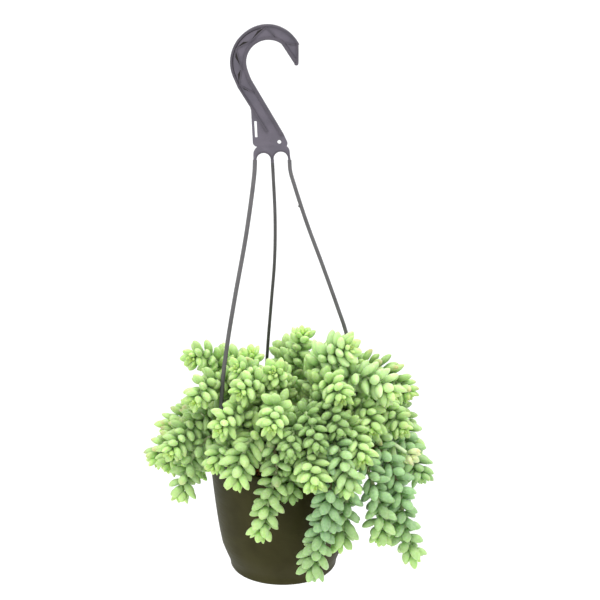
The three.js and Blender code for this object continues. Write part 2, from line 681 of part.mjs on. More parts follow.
const stems = TAILS.map(stemOf);
growLeaves(stems);

const plant = new THREE.Group();
plant.position.set(-INNER_ARC.x, 0, -(INNER_ARC.z + INNER_ARC.radius));
plant.add(namedMesh('pot', potGeometry(), COLOURS.pot, 0.45));
plant.add(namedMesh('potting_mix', mixGeometry(stems.map((stem) => stem.foot)), COLOURS.mix, 1));
plant.add(namedMesh('hanger', hangerGeometry(), COLOURS.hanger, 0.5));
stems.forEach((stem) => {
  const high = THREE.MathUtils.clamp((stem.frames.at(-1).point.z - 60) / 150, 0, 1);
  const colour = new THREE.Color(COLOURS.leafOld).lerp(new THREE.Color(COLOURS.leafYoung), high);
  plant.add(namedMesh(`tail_${stem.name}`, tailGeometry(stem), colour, 0.55));
});

const model = new THREE.Group();
model.add(plant);

export default model;
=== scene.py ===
"""A burro's tail in a hanging pot: its moulded pot and hanger, its potting mix and its leafy tails."""

import logging
import math
from dataclasses import dataclass, field
from enum import Enum
from itertools import product

import bmesh
import bpy
import numpy as np
from mathutils import Matrix, Vector, noise


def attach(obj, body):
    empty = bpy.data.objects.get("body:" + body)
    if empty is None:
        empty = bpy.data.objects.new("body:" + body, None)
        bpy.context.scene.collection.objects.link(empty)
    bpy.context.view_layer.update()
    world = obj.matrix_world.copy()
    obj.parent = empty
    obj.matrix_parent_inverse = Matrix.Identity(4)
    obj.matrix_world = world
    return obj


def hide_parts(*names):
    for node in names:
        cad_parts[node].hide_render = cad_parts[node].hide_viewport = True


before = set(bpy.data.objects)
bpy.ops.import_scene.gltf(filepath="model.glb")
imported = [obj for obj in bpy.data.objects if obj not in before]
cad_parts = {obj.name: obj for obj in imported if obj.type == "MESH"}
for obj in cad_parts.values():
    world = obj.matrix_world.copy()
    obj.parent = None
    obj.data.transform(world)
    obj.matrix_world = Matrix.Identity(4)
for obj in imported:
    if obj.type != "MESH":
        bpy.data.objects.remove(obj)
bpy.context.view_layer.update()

logging.basicConfig(level=logging.INFO, format="%(message)s")
log = logging.getLogger("plant")

# Sizes are in millimetres in the pot's own frame: its axis is x = y = 0 and its underside is z = 0.
# The row's origin is the point of the hook's crook that bears on what it hangs from.
HOOK_REST = np.array([-11.8, 0.0, 526.5])
MM = 0.001
# The height of the potting mix at its edge, from which the depth of the stems' sockets counts.
MIX_TOP = 112.0

Array = np.ndarray
Points = list[tuple[float, ...]]
# The x and z of a circle's centre on the hook's plate, and its radius.
Circle = tuple[float, float, float]


# ---------------------------------------------------------------- small tools


def row(points: Array) -> Array:
    """Turns points of the pot's frame in millimetres into the row frame in metres."""
    return (np.asarray(points, float) - HOOK_REST) * MM


def linear(colour: str) -> tuple[float, float, float, float]:
    """Turns an sRGB hex colour into a linear one.

    Args:
        colour: The colour, such as "#3d3a20".

    Returns:
        Linear red, green, blue and alpha.
    """
    parts = [int(colour[i : i + 2], 16) / 255 for i in (1, 3, 5)]
    r, g, b = [c / 12.92 if c <= 0.04045 else ((c + 0.055) / 1.055) ** 2.4 for c in parts]
    return r, g, b, 1.0


def mix(a: float, b: float, share: float) -> float:
    """The value at a share of the way from a to b."""
    return a + (b - a) * share


def clamp(value: float, low: float = 0.0, high: float = 1.0) -> float:
    """The value, held between two limits."""
    return max(low, min(high, value))


def polar(degrees: float, radius: float) -> tuple[float, float]:
    """The x and y of a point at an angle and a distance from the axis."""
    return radius * math.cos(math.radians(degrees)), radius * math.sin(math.radians(degrees))


def unit(vector: Array) -> Array:
    """The vector at length 1."""
    return vector / np.linalg.norm(vector)


def set_up(
    tree: bpy.types.NodeTree,
    node: bpy.types.Node,
    settings: dict[str | int, object],
    links: dict[str | int, bpy.types.NodeSocket],
) -> None:
    """Gives a node its values and its links.

    Args:
        tree: The node tree that it is in.
        node: The node.
        settings: Values for its properties, for its inputs by name or number, or for a ramp's stops.
        links: The sockets that feed its inputs, by name or number.
    """
    for key, value in settings.items():
        if key == "stops":
            elements = node.color_ramp.elements
            while len(elements) < len(value):
                elements.new(1.0)
            for element, (place, colour) in zip(elements, value):
                element.position, element.color = place, linear(colour)
        elif isinstance(key, str) and hasattr(node, key):
            setattr(node, key, value)
        else:
            node.inputs[key].default_value = value
    for key, source in links.items():
        tree.links.new(source, node.inputs[key])


def add_node(
    tree: bpy.types.NodeTree,
    kind: str,
    settings: dict[str | int, object] | None = None,
    links: dict[str | int, bpy.types.NodeSocket] | None = None,
) -> bpy.types.Node:
    """Adds one node to a material's tree.

    Args:
        tree: The material's node tree.
        kind: The node's type name.
        settings: Its values, as set_up takes them.
        links: The sockets that feed it, as set_up takes them.

    Returns:
        The new node.
    """
    node = tree.nodes.new(kind)
    set_up(tree, node, settings or {}, links or {})
    return node


def new_material(name: str) -> tuple[bpy.types.Material, bpy.types.NodeTree, bpy.types.Node]:
    """Makes a material with one Principled shader.

    Args:
        name: The material's name.

    Returns:
        The material, its tree and its shader node.
    """
    material = bpy.data.materials.new(name)
    material.use_nodes = True
    tree = material.node_tree
    shader = next(n for n in tree.nodes if n.type == "BSDF_PRINCIPLED")
    return material, tree, shader


@dataclass
class Shell:
    """Faces that are gathered piece by piece and then made into one mesh object."""

    name: str
    points: list[Array] = field(default_factory=list)
    faces: list[tuple[int, ...]] = field(default_factory=list)
    slots: list[int] = field(default_factory=list)
    marks: dict[str, list[tuple[int, Array]]] = field(default_factory=dict)
    count: int = 0

    def add(self, points: Array, faces: list, slot: int = 0, **marks: float | Array) -> None:
        """Adds one closed form.

        Args:
            points: Its points, in the pot's frame in millimetres.
            faces: Its faces, as numbers of its own points.
            slot: The number of its material.
            marks: Values that its material reads, one for the form or one for each point.
        """
        start = self.count
        self.points.append(points)
        self.faces.extend(tuple(start + i for i in face) for face in faces)
        self.slots.extend([slot] * len(faces))
        for key, value in marks.items():
            level = np.broadcast_to(np.asarray(value, float), (len(points),))
            self.marks.setdefault(key, []).append((start, level))
        self.count += len(points)

    def build(self, materials: list[bpy.types.Material]) -> bpy.types.Object:
        """Makes the object, shaded smooth.

        Args:
            materials: Its materials, in the order of the slot numbers.

        Returns:
            The new object, in the row frame.
        """
        mesh = bpy.data.meshes.new(self.name)
        mesh.from_pydata(row(np.concatenate(self.points)).tolist(), [], self.faces)
        for material in materials:
            mesh.materials.append(material)
        mesh.polygons.foreach_set("material_index", self.slots)
        mesh.polygons.foreach_set("use_smooth", [True] * len(mesh.polygons))
        for key, values in self.marks.items():
            layer = mesh.attributes.new(key, "FLOAT", "POINT")
            levels = np.zeros(self.count, np.float32)
            for start, part in values:
                levels[start : start + len(part)] = part
            layer.data.foreach_set("value", levels)
        mesh.update()
        thing = bpy.data.objects.new(self.name, mesh)
        bpy.context.scene.collection.objects.link(thing)
        return thing


def take(thing: bpy.types.Object, node: str) -> None:
    """Lets a piece stand for a solid of the frame.

    Args:
        thing: The piece.
        node: The solid's name.
    """
    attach(thing, "root")
    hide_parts(node)
    log.info("%s: %d faces, stands for %s", thing.name, len(thing.data.polygons), node)


def tube_faces(rings: int, sides: int) -> list[tuple[int, ...]]:
    """Faces of a closed tube, with a flat cap at each end.

    Args:
        rings: How many rings of points it has.
        sides: How many points each ring has.

    Returns:
        The faces, with the first ring's cap first.
    """
    faces: list[tuple[int, ...]] = [tuple(reversed(range(sides)))]
    for ring in range(rings - 1):
        a, b = ring * sides, (ring + 1) * sides
        faces += [(a + i, a + (i + 1) % sides, b + (i + 1) % sides, b + i) for i in range(sides)]
    last = (rings - 1) * sides
    return faces + [tuple(last + i for i in range(sides))]


def turned(profile: Points, sides: int) -> tuple[Array, list[tuple[int, ...]]]:
    """Turns a closed profile about the pot's axis into a ring.

    Args:
        profile: Radius and height of each point, anticlockwise with the axis on the left.
        sides: How many facets go round.

    Returns:
        The points and the faces.
    """
    angles = np.arange(sides) * 2 * math.pi / sides
    radius, height = np.array(profile, float).T
    x, y = np.outer(np.cos(angles), radius).ravel(), np.outer(np.sin(angles), radius).ravel()
    points = np.stack([x, y, np.tile(height, sides)], axis=1)
    n = len(profile)
    faces = []
    for i in range(sides):
        a, b = i * n, ((i + 1) % sides) * n
        faces += [(a + j, b + j, b + (j + 1) % n, a + (j + 1) % n) for j in range(n)]
    return points, faces


def bevelled_plate(
    outline: Points, thickness: float, edge: float, holes: list[Points] | None = None
) -> tuple[Array, list[tuple[int, ...]]]:
    """A flat plate with rounded edges, drawn in x and z and centred on y = 0.

    Args:
        outline: The plate's outer edge.
        thickness: Its thickness along y.
        edge: The radius of its edges.
        holes: The edges of its holes.

    Returns:
        The points and the faces.
    """
    curve = bpy.data.curves.new("plate", "CURVE")
    curve.dimensions = "2D"
    curve.fill_mode = "BOTH"
    curve.extrude = thickness / 2 - edge
    curve.bevel_depth = edge
    curve.bevel_resolution = 1
    curve.offset = -edge
    for loop in [outline, *(holes or [])]:
        spline = curve.splines.new("POLY")
        spline.points.add(len(loop) - 1)
        spline.use_cyclic_u = True
        for point, (x, z) in zip(spline.points, loop):
            point.co = (x, z, 0, 1)
    thing = bpy.data.objects.new("plate", curve)
    mesh = bpy.data.meshes.new_from_object(thing)
    build = bmesh.new()
    build.from_mesh(mesh)
    bmesh.ops.remove_doubles(build, verts=build.verts, dist=1e-4)
    bmesh.ops.recalc_face_normals(build, faces=build.faces)
    points = np.array([(v.co.x, -v.co.z, v.co.y) for v in build.verts])
    faces = [tuple(v.index for v in f.verts) for f in build.faces]
    build.free()
    bpy.data.objects.remove(thing)
    bpy.data.curves.remove(curve)
    bpy.data.meshes.remove(mesh)
    return points, faces


class Line:
    """A smooth centripetal curve through points, measured along its length."""

    def __init__(self, points: list, step: float = 1.0) -> None:
        """Draws the curve.

        Args:
            points: The points that it passes.
            step: The distance between the places that it is measured at.
        """
        p = [np.array(point, float) for point in points]
        p = [2 * p[0] - p[1], *p, 2 * p[-1] - p[-2]]
        dense = []
        for a, b, c, d in zip(p, p[1:], p[2:], p[3:]):
            ta, tb, tc = (math.sqrt(np.linalg.norm(v)) for v in (b - a, c - b, d - c))
            start = ((b - a) / ta - (c - a) / (ta + tb) + (c - b) / tb) * tb
            end = ((c - b) / tb - (d - b) / (tb + tc) + (d - c) / tc) * tb
            for share in np.linspace(0, 1, 30, endpoint=False):
                bow, wave = 3 * (c - b) - 2 * start - end, 2 * (b - c) + start + end
                dense.append(b + start * share + bow * share**2 + wave * share**3)
        dense = np.array([*dense, p[-2]])
        reach = np.concatenate([[0], np.cumsum(np.linalg.norm(np.diff(dense, axis=0), axis=1))])
        self.length = float(reach[-1])
        self.places = np.linspace(0, self.length, max(3, round(self.length / step) + 1))
        self.points = np.stack([np.interp(self.places, reach, dense[:, k]) for k in range(3)], axis=1)
        slope = np.gradient(self.points, axis=0)
        self.along = slope / np.linalg.norm(slope, axis=1)[:, None]
        side = np.array([1.0, 0.0, 0.0])
        sides = []
        for direction in self.along:
            side = unit(side - direction * side.dot(direction))
            sides.append(side)
        self.side = np.array(sides)
        self.across = np.cross(self.along, self.side)

    def at(self, place: float) -> tuple[Array, Array, Array, Array]:
        """The point, direction, side and across axes at a distance from the start."""
        k = int(clamp(round(place / self.length * (len(self.places) - 1)), 0, len(self.places) - 1))
        return self.points[k], self.along[k], self.side[k], self.across[k]

    def swept(self, section: Array, scale: Array | None = None, every: int = 1) -> Array:
        """Rings of a section [side, across] along the curve.

        Args:
            section: The section's points.
            scale: A size for each measured place.
            every: 1 for a ring at each measured place, 3 for one at every third.

        Returns:
            The rings' points.
        """
        size = (np.ones(len(self.places)) if scale is None else scale)[::every, None, None]
        rings = (
            self.points[::every, None]
            + self.side[::every, None] * (section[None, :, :1] * size)
            + self.across[::every, None] * (section[None, :, 1:] * size)
        )
        return rings.reshape(-1, 3)


# ---------------------------------------------------------------- finishes


@dataclass(frozen=True)
class WaxyLeaf:
    """A living succulent leaf, grown with a wax bloom.

    Its thick wet flesh lets light through near the edges, and the bloom turns its shine into a soft
    pale haze. It is lime at the growing tips and blue-green where it is old, and it is darkened near
    its root with painted shade.
    """

    name: str = "waxy_succulent_leaf_grown"
    centre: str = "#a6c848"
    young: str = "#b8db7e"
    fresh: str = "#bedc8e"
    grown: str = "#accb7a"
    old: str = "#a1bc6a"
    aged: str = "#93bb86"
    # Painted shade: near its root each leaf darkens to this colour, where the leaves crowd round the stem.
    root: str = "#3f7c0c"
    haze: str = "#dcefc4"
    blush: str = "#c79c86"
    mottle_mm: float = 2.6
    # The bloom's grain is finer in life: this is as coarse as it needs to show.
    grain_mm: float = 0.45

    def build(self) -> bpy.types.Material:
        """Makes the material.

        Returns:
            The new material.
        """
        material, tree, shader = new_material(self.name)
        age, bloom, tone, reach, blush = [
            add_node(tree, "ShaderNodeAttribute", {"attribute_name": name}).outputs["Fac"]
            for name in ("age", "bloom", "tone", "reach", "blush")
        ]
        where = add_node(tree, "ShaderNodeTexCoord").outputs["Object"]
        shades = (self.centre, self.young, self.fresh, self.grown, self.old)
        stops = list(zip((0.0, 0.16, 0.38, 0.66, 1.0), shades))
        grown = add_node(tree, "ShaderNodeValToRGB", {"stops": stops}, {"Fac": age})
        old_share = add_node(tree, "ShaderNodeMath", {"operation": "MULTIPLY"}, {0: age, 1: bloom})
        aged = add_node(
            tree, "ShaderNodeMix", {"data_type": "RGBA", 7: linear(self.aged)},
            {0: old_share.outputs[0], 6: grown.outputs["Color"]})
        # Painted shade: the colour darkens towards the root colour near the leaf's root.
        root_painted_shade = add_node(
            tree, "ShaderNodeMapRange", {"From Min": 0.0, "From Max": 0.55, "To Min": 0.75, "To Max": 0.0},
            {"Value": reach})
        painted_shade_leaf = add_node(
            tree, "ShaderNodeMix", {"data_type": "RGBA", 7: linear(self.root)},
            {0: root_painted_shade.outputs[0], 6: aged.outputs[2]})
        mottle = add_node(
            tree, "ShaderNodeTexNoise", {"Scale": 1000 / self.mottle_mm, "Detail": 3.0, "Roughness": 0.6},
            {"Vector": where})
        haze_share = add_node(
            tree, "ShaderNodeMapRange", {"From Min": 0.36, "From Max": 0.7, "To Min": 0.04, "To Max": 0.34},
            {"Value": mottle.outputs["Fac"]})
        hazed = add_node(
            tree, "ShaderNodeMix", {"data_type": "RGBA", 7: linear(self.haze)},
            {0: haze_share.outputs[0], 6: painted_shade_leaf.outputs[2]})
        tip = add_node(
            tree, "ShaderNodeMapRange", {"From Min": 0.72, "From Max": 1.0, "To Min": 0.0, "To Max": 1.0},
            {"Value": reach})
        blush_share = add_node(
            tree, "ShaderNodeMath", {"operation": "MULTIPLY"}, {0: tip.outputs[0], 1: blush})
        blushed = add_node(
            tree, "ShaderNodeMix", {"data_type": "RGBA", 7: linear(self.blush)},
            {0: blush_share.outputs[0], 6: hazed.outputs[2]})
        light = add_node(
            tree, "ShaderNodeMapRange", {"From Min": 0.0, "From Max": 1.0, "To Min": 0.88, "To Max": 1.1},
            {"Value": tone})
        colour = add_node(
            tree, "ShaderNodeHueSaturation", {}, {"Value": light.outputs[0], "Color": blushed.outputs[2]})
        dull = add_node(
            tree, "ShaderNodeMapRange", {"From Min": 0.3, "From Max": 0.7, "To Min": 0.42, "To Max": 0.6},
            {"Value": mottle.outputs["Fac"]})
        grain = add_node(
            tree, "ShaderNodeTexNoise", {"Scale": 1000 / self.grain_mm, "Detail": 2.0}, {"Vector": where})
        bump = add_node(
            tree, "ShaderNodeBump", {"Strength": 0.12, "Distance": 0.0003},
            {"Height": grain.outputs["Fac"]})
        values = {
            "IOR": 1.42, "Specular IOR Level": 0.22, "Subsurface Weight": 0.6, "Subsurface Scale": 0.006,
            "Subsurface Radius": (0.7, 1.0, 0.35), "Sheen Weight": 0.05, "Sheen Roughness": 0.5}
        set_up(tree, shader, values, {
            "Base Color": colour.outputs["Color"], "Roughness": dull.outputs[0], "Normal": bump.outputs[0]})
        return material


@dataclass(frozen=True)
class GreenStem:
    """A succulent's stem, grown: pale green skin that turns to thin brown bark near the mix.

    It is dull and slightly wrinkled, with pale scars where leaves have dropped.
    """

    name: str = "succulent_stem_grown"
    skin: str = "#b3cb8c"
    bark: str = "#5d5836"
    scar: str = "#d5dcb8"
    scar_mm: float = 3.0

    def build(self) -> bpy.types.Material:
        """Makes the material.

        Returns:
            The new material.
        """
        material, tree, shader = new_material(self.name)
        age = add_node(tree, "ShaderNodeAttribute", {"attribute_name": "age"}).outputs["Fac"]
        where = add_node(tree, "ShaderNodeTexCoord").outputs["Object"]
        barky = add_node(
            tree, "ShaderNodeMapRange", {"From Min": 0.4, "From Max": 0.9, "To Min": 0.0, "To Max": 1.0},
            {"Value": age})
        skin = add_node(
            tree, "ShaderNodeMix", {"data_type": "RGBA", 6: linear(self.skin), 7: linear(self.bark)},
            {0: barky.outputs[0]})
        cells = add_node(tree, "ShaderNodeTexVoronoi", {"Scale": 1000 / self.scar_mm}, {"Vector": where})
        spots = add_node(
            tree, "ShaderNodeMapRange", {"From Min": 0.1, "From Max": 0.3, "To Min": 0.6, "To Max": 0.0},
            {"Value": cells.outputs["Distance"]})
        colour = add_node(
            tree, "ShaderNodeMix", {"data_type": "RGBA", 7: linear(self.scar)},
            {0: spots.outputs[0], 6: skin.outputs[2]})
        bump = add_node(
            tree, "ShaderNodeBump", {"Strength": 0.4, "Distance": 0.0004},
            {"Height": cells.outputs["Distance"]})
        links = {"Base Color": colour.outputs[2], "Normal": bump.outputs[0]}
        set_up(tree, shader, {"Roughness": 0.6, "IOR": 1.42}, links)
        return material


@dataclass(frozen=True)
class MouldedPolypropylene:
    """Injection-moulded polypropylene, coloured through, with a satin face.

    It gives broad soft reflections with no sharp glints, faint cloudy flow marks from the gate, and
    fine scuffs that catch the light. Where its parts are marked, it is darkened with painted shade.
    """

    name: str
    base: str
    cloud: str
    scuff: str
    roughness: float = 0.45
    cloud_mm: float = 28.0
    # Peel and scuffs are finer in life: these are as coarse as they need to show.
    peel_mm: float = 0.9
    scuff_mm: float = 2.2
    scuff_share: float = 0.3
    gloss: float = 0.28
    # The dark colour that the painted shade mixes in.
    stain: str = "#262220"

    def build(self) -> bpy.types.Material:
        """Makes the material.

        Returns:
            The new material.
        """
        material, tree, shader = new_material(self.name)
        where = add_node(tree, "ShaderNodeTexCoord").outputs["Object"]
        cloud = add_node(
            tree, "ShaderNodeTexNoise", {"Scale": 1000 / self.cloud_mm, "Detail": 4.0, "Distortion": 0.6},
            {"Vector": where})
        cloudy = add_node(
            tree, "ShaderNodeMapRange", {"From Min": 0.35, "From Max": 0.68, "To Min": 0.0, "To Max": 1.0},
            {"Value": cloud.outputs["Fac"]})
        base = add_node(
            tree, "ShaderNodeMix", {"data_type": "RGBA", 6: linear(self.base), 7: linear(self.cloud)},
            {0: cloudy.outputs[0]})
        stretch = add_node(tree, "ShaderNodeMapping", {"Scale": (1.0, 1.0, 7.0)}, {"Vector": where})
        scratches = add_node(
            tree, "ShaderNodeTexNoise",
            {"Scale": 1000 / (self.scuff_mm * 7), "Detail": 6.0, "Roughness": 0.7},
            {"Vector": stretch.outputs[0]})
        scuffed = add_node(
            tree, "ShaderNodeMapRange",
            {"From Min": 0.6, "From Max": 0.75, "To Min": 0.0, "To Max": self.scuff_share},
            {"Value": scratches.outputs["Fac"]})
        colour = add_node(
            tree, "ShaderNodeMix", {"data_type": "RGBA", 7: linear(self.scuff)},
            {0: scuffed.outputs[0], 6: base.outputs[2]})
        # Painted shade: the colour darkens towards the painted shade colour as far as the part's mark says.
        painted_shade_share = add_node(tree, "ShaderNodeAttribute", {"attribute_name": "stain"}).outputs["Fac"]
        finish = add_node(
            tree, "ShaderNodeMix", {"data_type": "RGBA", 7: linear(self.stain)},
            {0: painted_shade_share, 6: colour.outputs[2]})
        low, high = self.roughness - 0.05, self.roughness + 0.12
        dull = add_node(
            tree, "ShaderNodeMapRange", {"From Min": 0.3, "From Max": 0.75, "To Min": low, "To Max": high},
            {"Value": scratches.outputs["Fac"]})
        peel = add_node(
            tree, "ShaderNodeTexNoise", {"Scale": 1000 / self.peel_mm, "Detail": 2.0}, {"Vector": where})
        bump = add_node(
            tree, "ShaderNodeBump", {"Strength": 0.1, "Distance": 0.0002}, {"Height": peel.outputs["Fac"]})
        links = {"Base Color": finish.outputs[2], "Roughness": dull.outputs[0], "Normal": bump.outputs[0]}
        set_up(tree, shader, {"IOR": 1.49, "Specular IOR Level": self.gloss}, links)
        return material


@dataclass(frozen=True)
class PeatAndBark:
    """Potting mix: moist peat, milled, with composted bark and coir.

    It is matte and crumbly, with brown and rust-coloured chips, and painted shade darkens its hollows nearly
    to black.
    """

    peat: str = "#2c1e13"
    bark: str = "#6b4526"
    coir: str = "#b56f36"
    crumb_mm: float = 1.6

    def build(self) -> bpy.types.Material:
        """Makes the material.

        Returns:
            The new material.
        """
        material, tree, shader = new_material("potting_mix_milled")
        tone = add_node(tree, "ShaderNodeAttribute", {"attribute_name": "tone"}).outputs["Fac"]
        where = add_node(tree, "ShaderNodeTexCoord").outputs["Object"]
        chips = add_node(
            tree, "ShaderNodeValToRGB",
            {"stops": [(0.0, self.peat), (0.6, self.bark), (1.0, self.coir)]},
            {"Fac": tone})
        crumb = add_node(
            tree, "ShaderNodeTexNoise", {"Scale": 1000 / self.crumb_mm, "Detail": 5.0, "Roughness": 0.7},
            {"Vector": where})
        # Painted shade: the noise that sets the bump also darkens its low places.
        shade = add_node(
            tree, "ShaderNodeMapRange", {"From Min": 0.3, "From Max": 0.7, "To Min": 0.45, "To Max": 1.35},
            {"Value": crumb.outputs["Fac"]})
        colour = add_node(
            tree, "ShaderNodeHueSaturation", {},
            {"Value": shade.outputs[0], "Color": chips.outputs["Color"]})
        bump = add_node(
            tree, "ShaderNodeBump", {"Strength": 0.8, "Distance": 0.0012}, {"Height": crumb.outputs["Fac"]})
        links = {"Base Color": colour.outputs["Color"], "Normal": bump.outputs[0]}
        set_up(tree, shader, {"Roughness": 0.95}, links)
        return material


@dataclass(frozen=True)
class MattePaint:
    """A studio sweep in matte paint, rolled: plain, pale and without a shine."""

    shade: str = "#fbfbfa"
    nap_mm: float = 2.5

    def build(self) -> bpy.types.Material:
        """Makes the material.

        Returns:
            The new material.
        """
        material, tree, shader = new_material("studio_paint_rolled")
        nap = add_node(tree, "ShaderNodeTexNoise", {"Scale": 1000 / self.nap_mm, "Detail": 2.0})
        bump = add_node(
            tree, "ShaderNodeBump", {"Strength": 0.03, "Distance": 0.0005}, {"Height": nap.outputs["Fac"]})
        values = {"Base Color": linear(self.shade), "Roughness": 0.9}
        set_up(tree, shader, values, {"Normal": bump.outputs[0]})
        return material


# ---------------------------------------------------------------- pot and mix


@dataclass
class Pot:
    """The moulded pot: a bulging tapered wall, a foot, a rolled lip and a drained floor."""

    height: float = 124.0
    rim_radius: float = 76.0
    lip_depth: float = 5.4
    wall_top_radius: float = 73.0
    wall_levels: tuple[float, ...] = (14, 28, 52, 84)
    foot_radius: float = 54.0
    foot_height: float = 9.0
    base_radius: float = 51.5
    bulge: float = 0.48
    wall: float = 1.6
    floor: float = 2.0
    drains: int = 6
    drain_radius: float = 4.0
    drain_ring: float = 34.0
    rib_reach: tuple[float, float] = (8.0, 46.0)
    rib_levels: tuple[float, float] = (0.15, 0.8)
    rib_half: float = 0.8
    sides: int = 144
    crease: float = 38.0

    def wall_radius(self, height: float) -> float:
        """Outside radius of the wall.

        Args:
            height: The height above the underside.

        Returns:
            The radius there.
        """
        if height <= self.foot_height:
            return self.foot_radius
        share = (height - self.foot_height) / (self.height - self.lip_depth - self.foot_height)
        return self.foot_radius + (self.wall_top_radius - self.foot_radius) * min(share, 1) ** self.bulge

    def silhouette(self) -> Points:
        """The wall and lip in section, against which the leaves lie.

        Returns:
            Radius and height of each point, from the foot up and down inside to the mix.
        """
        lip, bore = self.height - self.lip_depth, self.wall_top_radius - self.wall
        return [
            (0, 0), (self.foot_radius, 0),
            *[(self.wall_radius(z), z) for z in (self.foot_height, *self.wall_levels, lip)],
            (self.rim_radius, lip), (self.rim_radius, self.height), (bore, self.height), (bore, MIX_TOP)]

    def profile(self) -> Points:
        """The closed section that is turned into the wall.

        Returns:
            Radius and height of each point, up the outside and down the inside.
        """
        top, lip, foot = self.height, self.height - self.lip_depth, self.foot_height
        base, step, neck, rim = self.base_radius, self.foot_radius, self.wall_top_radius, self.rim_radius
        bore = neck - self.wall
        rises = foot + (lip - foot) * np.linspace(0, 1, 26) ** 1.6
        return [
            (base - 5, 0.3), (base - 4.4, 0), (base, 0), (base + 1.4, 0.5), (step - 0.3, 1.8),
            (step - 0.1, 3), (step + 0.25, foot - 3), (step + 1.1, foot), (step + 2.6, foot + 3.5),
            (step + 4.4, foot + 8), (step + 6.1, foot + 12.5),
            *[(self.wall_radius(z), z) for z in rises[:-1] if z > foot + 16],
            (neck, lip - 1.2), (neck + 0.4, lip - 0.3), (rim - 0.9, lip), (rim - 0.2, lip + 0.3),
            (rim, lip + 1), (rim, top - 1.2), (rim - 0.35, top - 0.35), (rim - 1.2, top),
            (bore + 0.6, top), (bore + 0.15, top - 0.2), (bore, top - 0.8), (bore, lip),
            *[(self.wall_radius(z) - self.wall, z) for z in rises[-2:0:-1]],
            (step - self.wall, foot), (step - 2 * self.wall, self.floor), (base - 5, self.floor)]

    def add_floor(self, shell: Shell) -> None:
        """Adds the floor with its round drain holes, and the ribs under it.

        Args:
            shell: The pot's faces.
        """
        disc = [polar(i * 360 / 96, self.base_radius - 4) for i in range(96)]
        ring = [polar(-i * 15, self.drain_radius) for i in range(24)]
        holes = []
        for k in range(self.drains):
            x, y = polar(k * 360 / self.drains, self.drain_ring)
            holes.append([(x + dx, y + dy) for dx, dy in ring])
        points, faces = bevelled_plate(disc, self.floor - 0.4, 0.3, holes)
        points = points[:, [0, 2, 1]] + (0, 0, self.floor / 2 + 0.1)
        shell.add(points, [tuple(reversed(face)) for face in faces])
        (near, far), (low, high) = self.rib_reach, self.rib_levels
        box = [(0, 1, 3, 2), (2, 3, 5, 4), (4, 5, 7, 6), (6, 7, 1, 0), (0, 2, 4, 6), (1, 7, 5, 3)]
        for k in range(self.drains):
            across = math.radians((k + 0.5) * 360 / self.drains)
            c, s = math.cos(across), math.sin(across)
            rib = [
                (r * c + half * s, r * s - half * c, z)
                for r, z in ((near, low), (far, low), (far, high), (near, high))
                for half in (-self.rib_half, self.rib_half)
            ]
            shell.add(np.array(rib), box)

    def build(self, plastic: bpy.types.Material) -> bpy.types.Object:
        """Makes the pot.

        Args:
            plastic: Its plastic.

        Returns:
            The pot's object.
        """
        shell = Shell("moulded_pot")
        shell.add(*turned(self.profile(), self.sides))
        self.add_floor(shell)
        pot = shell.build([plastic])
        add_sharpness(pot, self.crease)
        return pot


def add_sharpness(thing: bpy.types.Object, degrees: float) -> None:
    """Shades edges sharp where the faces meet at more than an angle.

    Args:
        thing: The object.
        degrees: The angle.
    """
    build = bmesh.new()
    build.from_mesh(thing.data)
    for edge in build.edges:
        if len(edge.link_faces) == 2:
            edge.smooth = edge.calc_face_angle(0) < math.radians(degrees)
    build.to_mesh(thing.data)
    build.free()


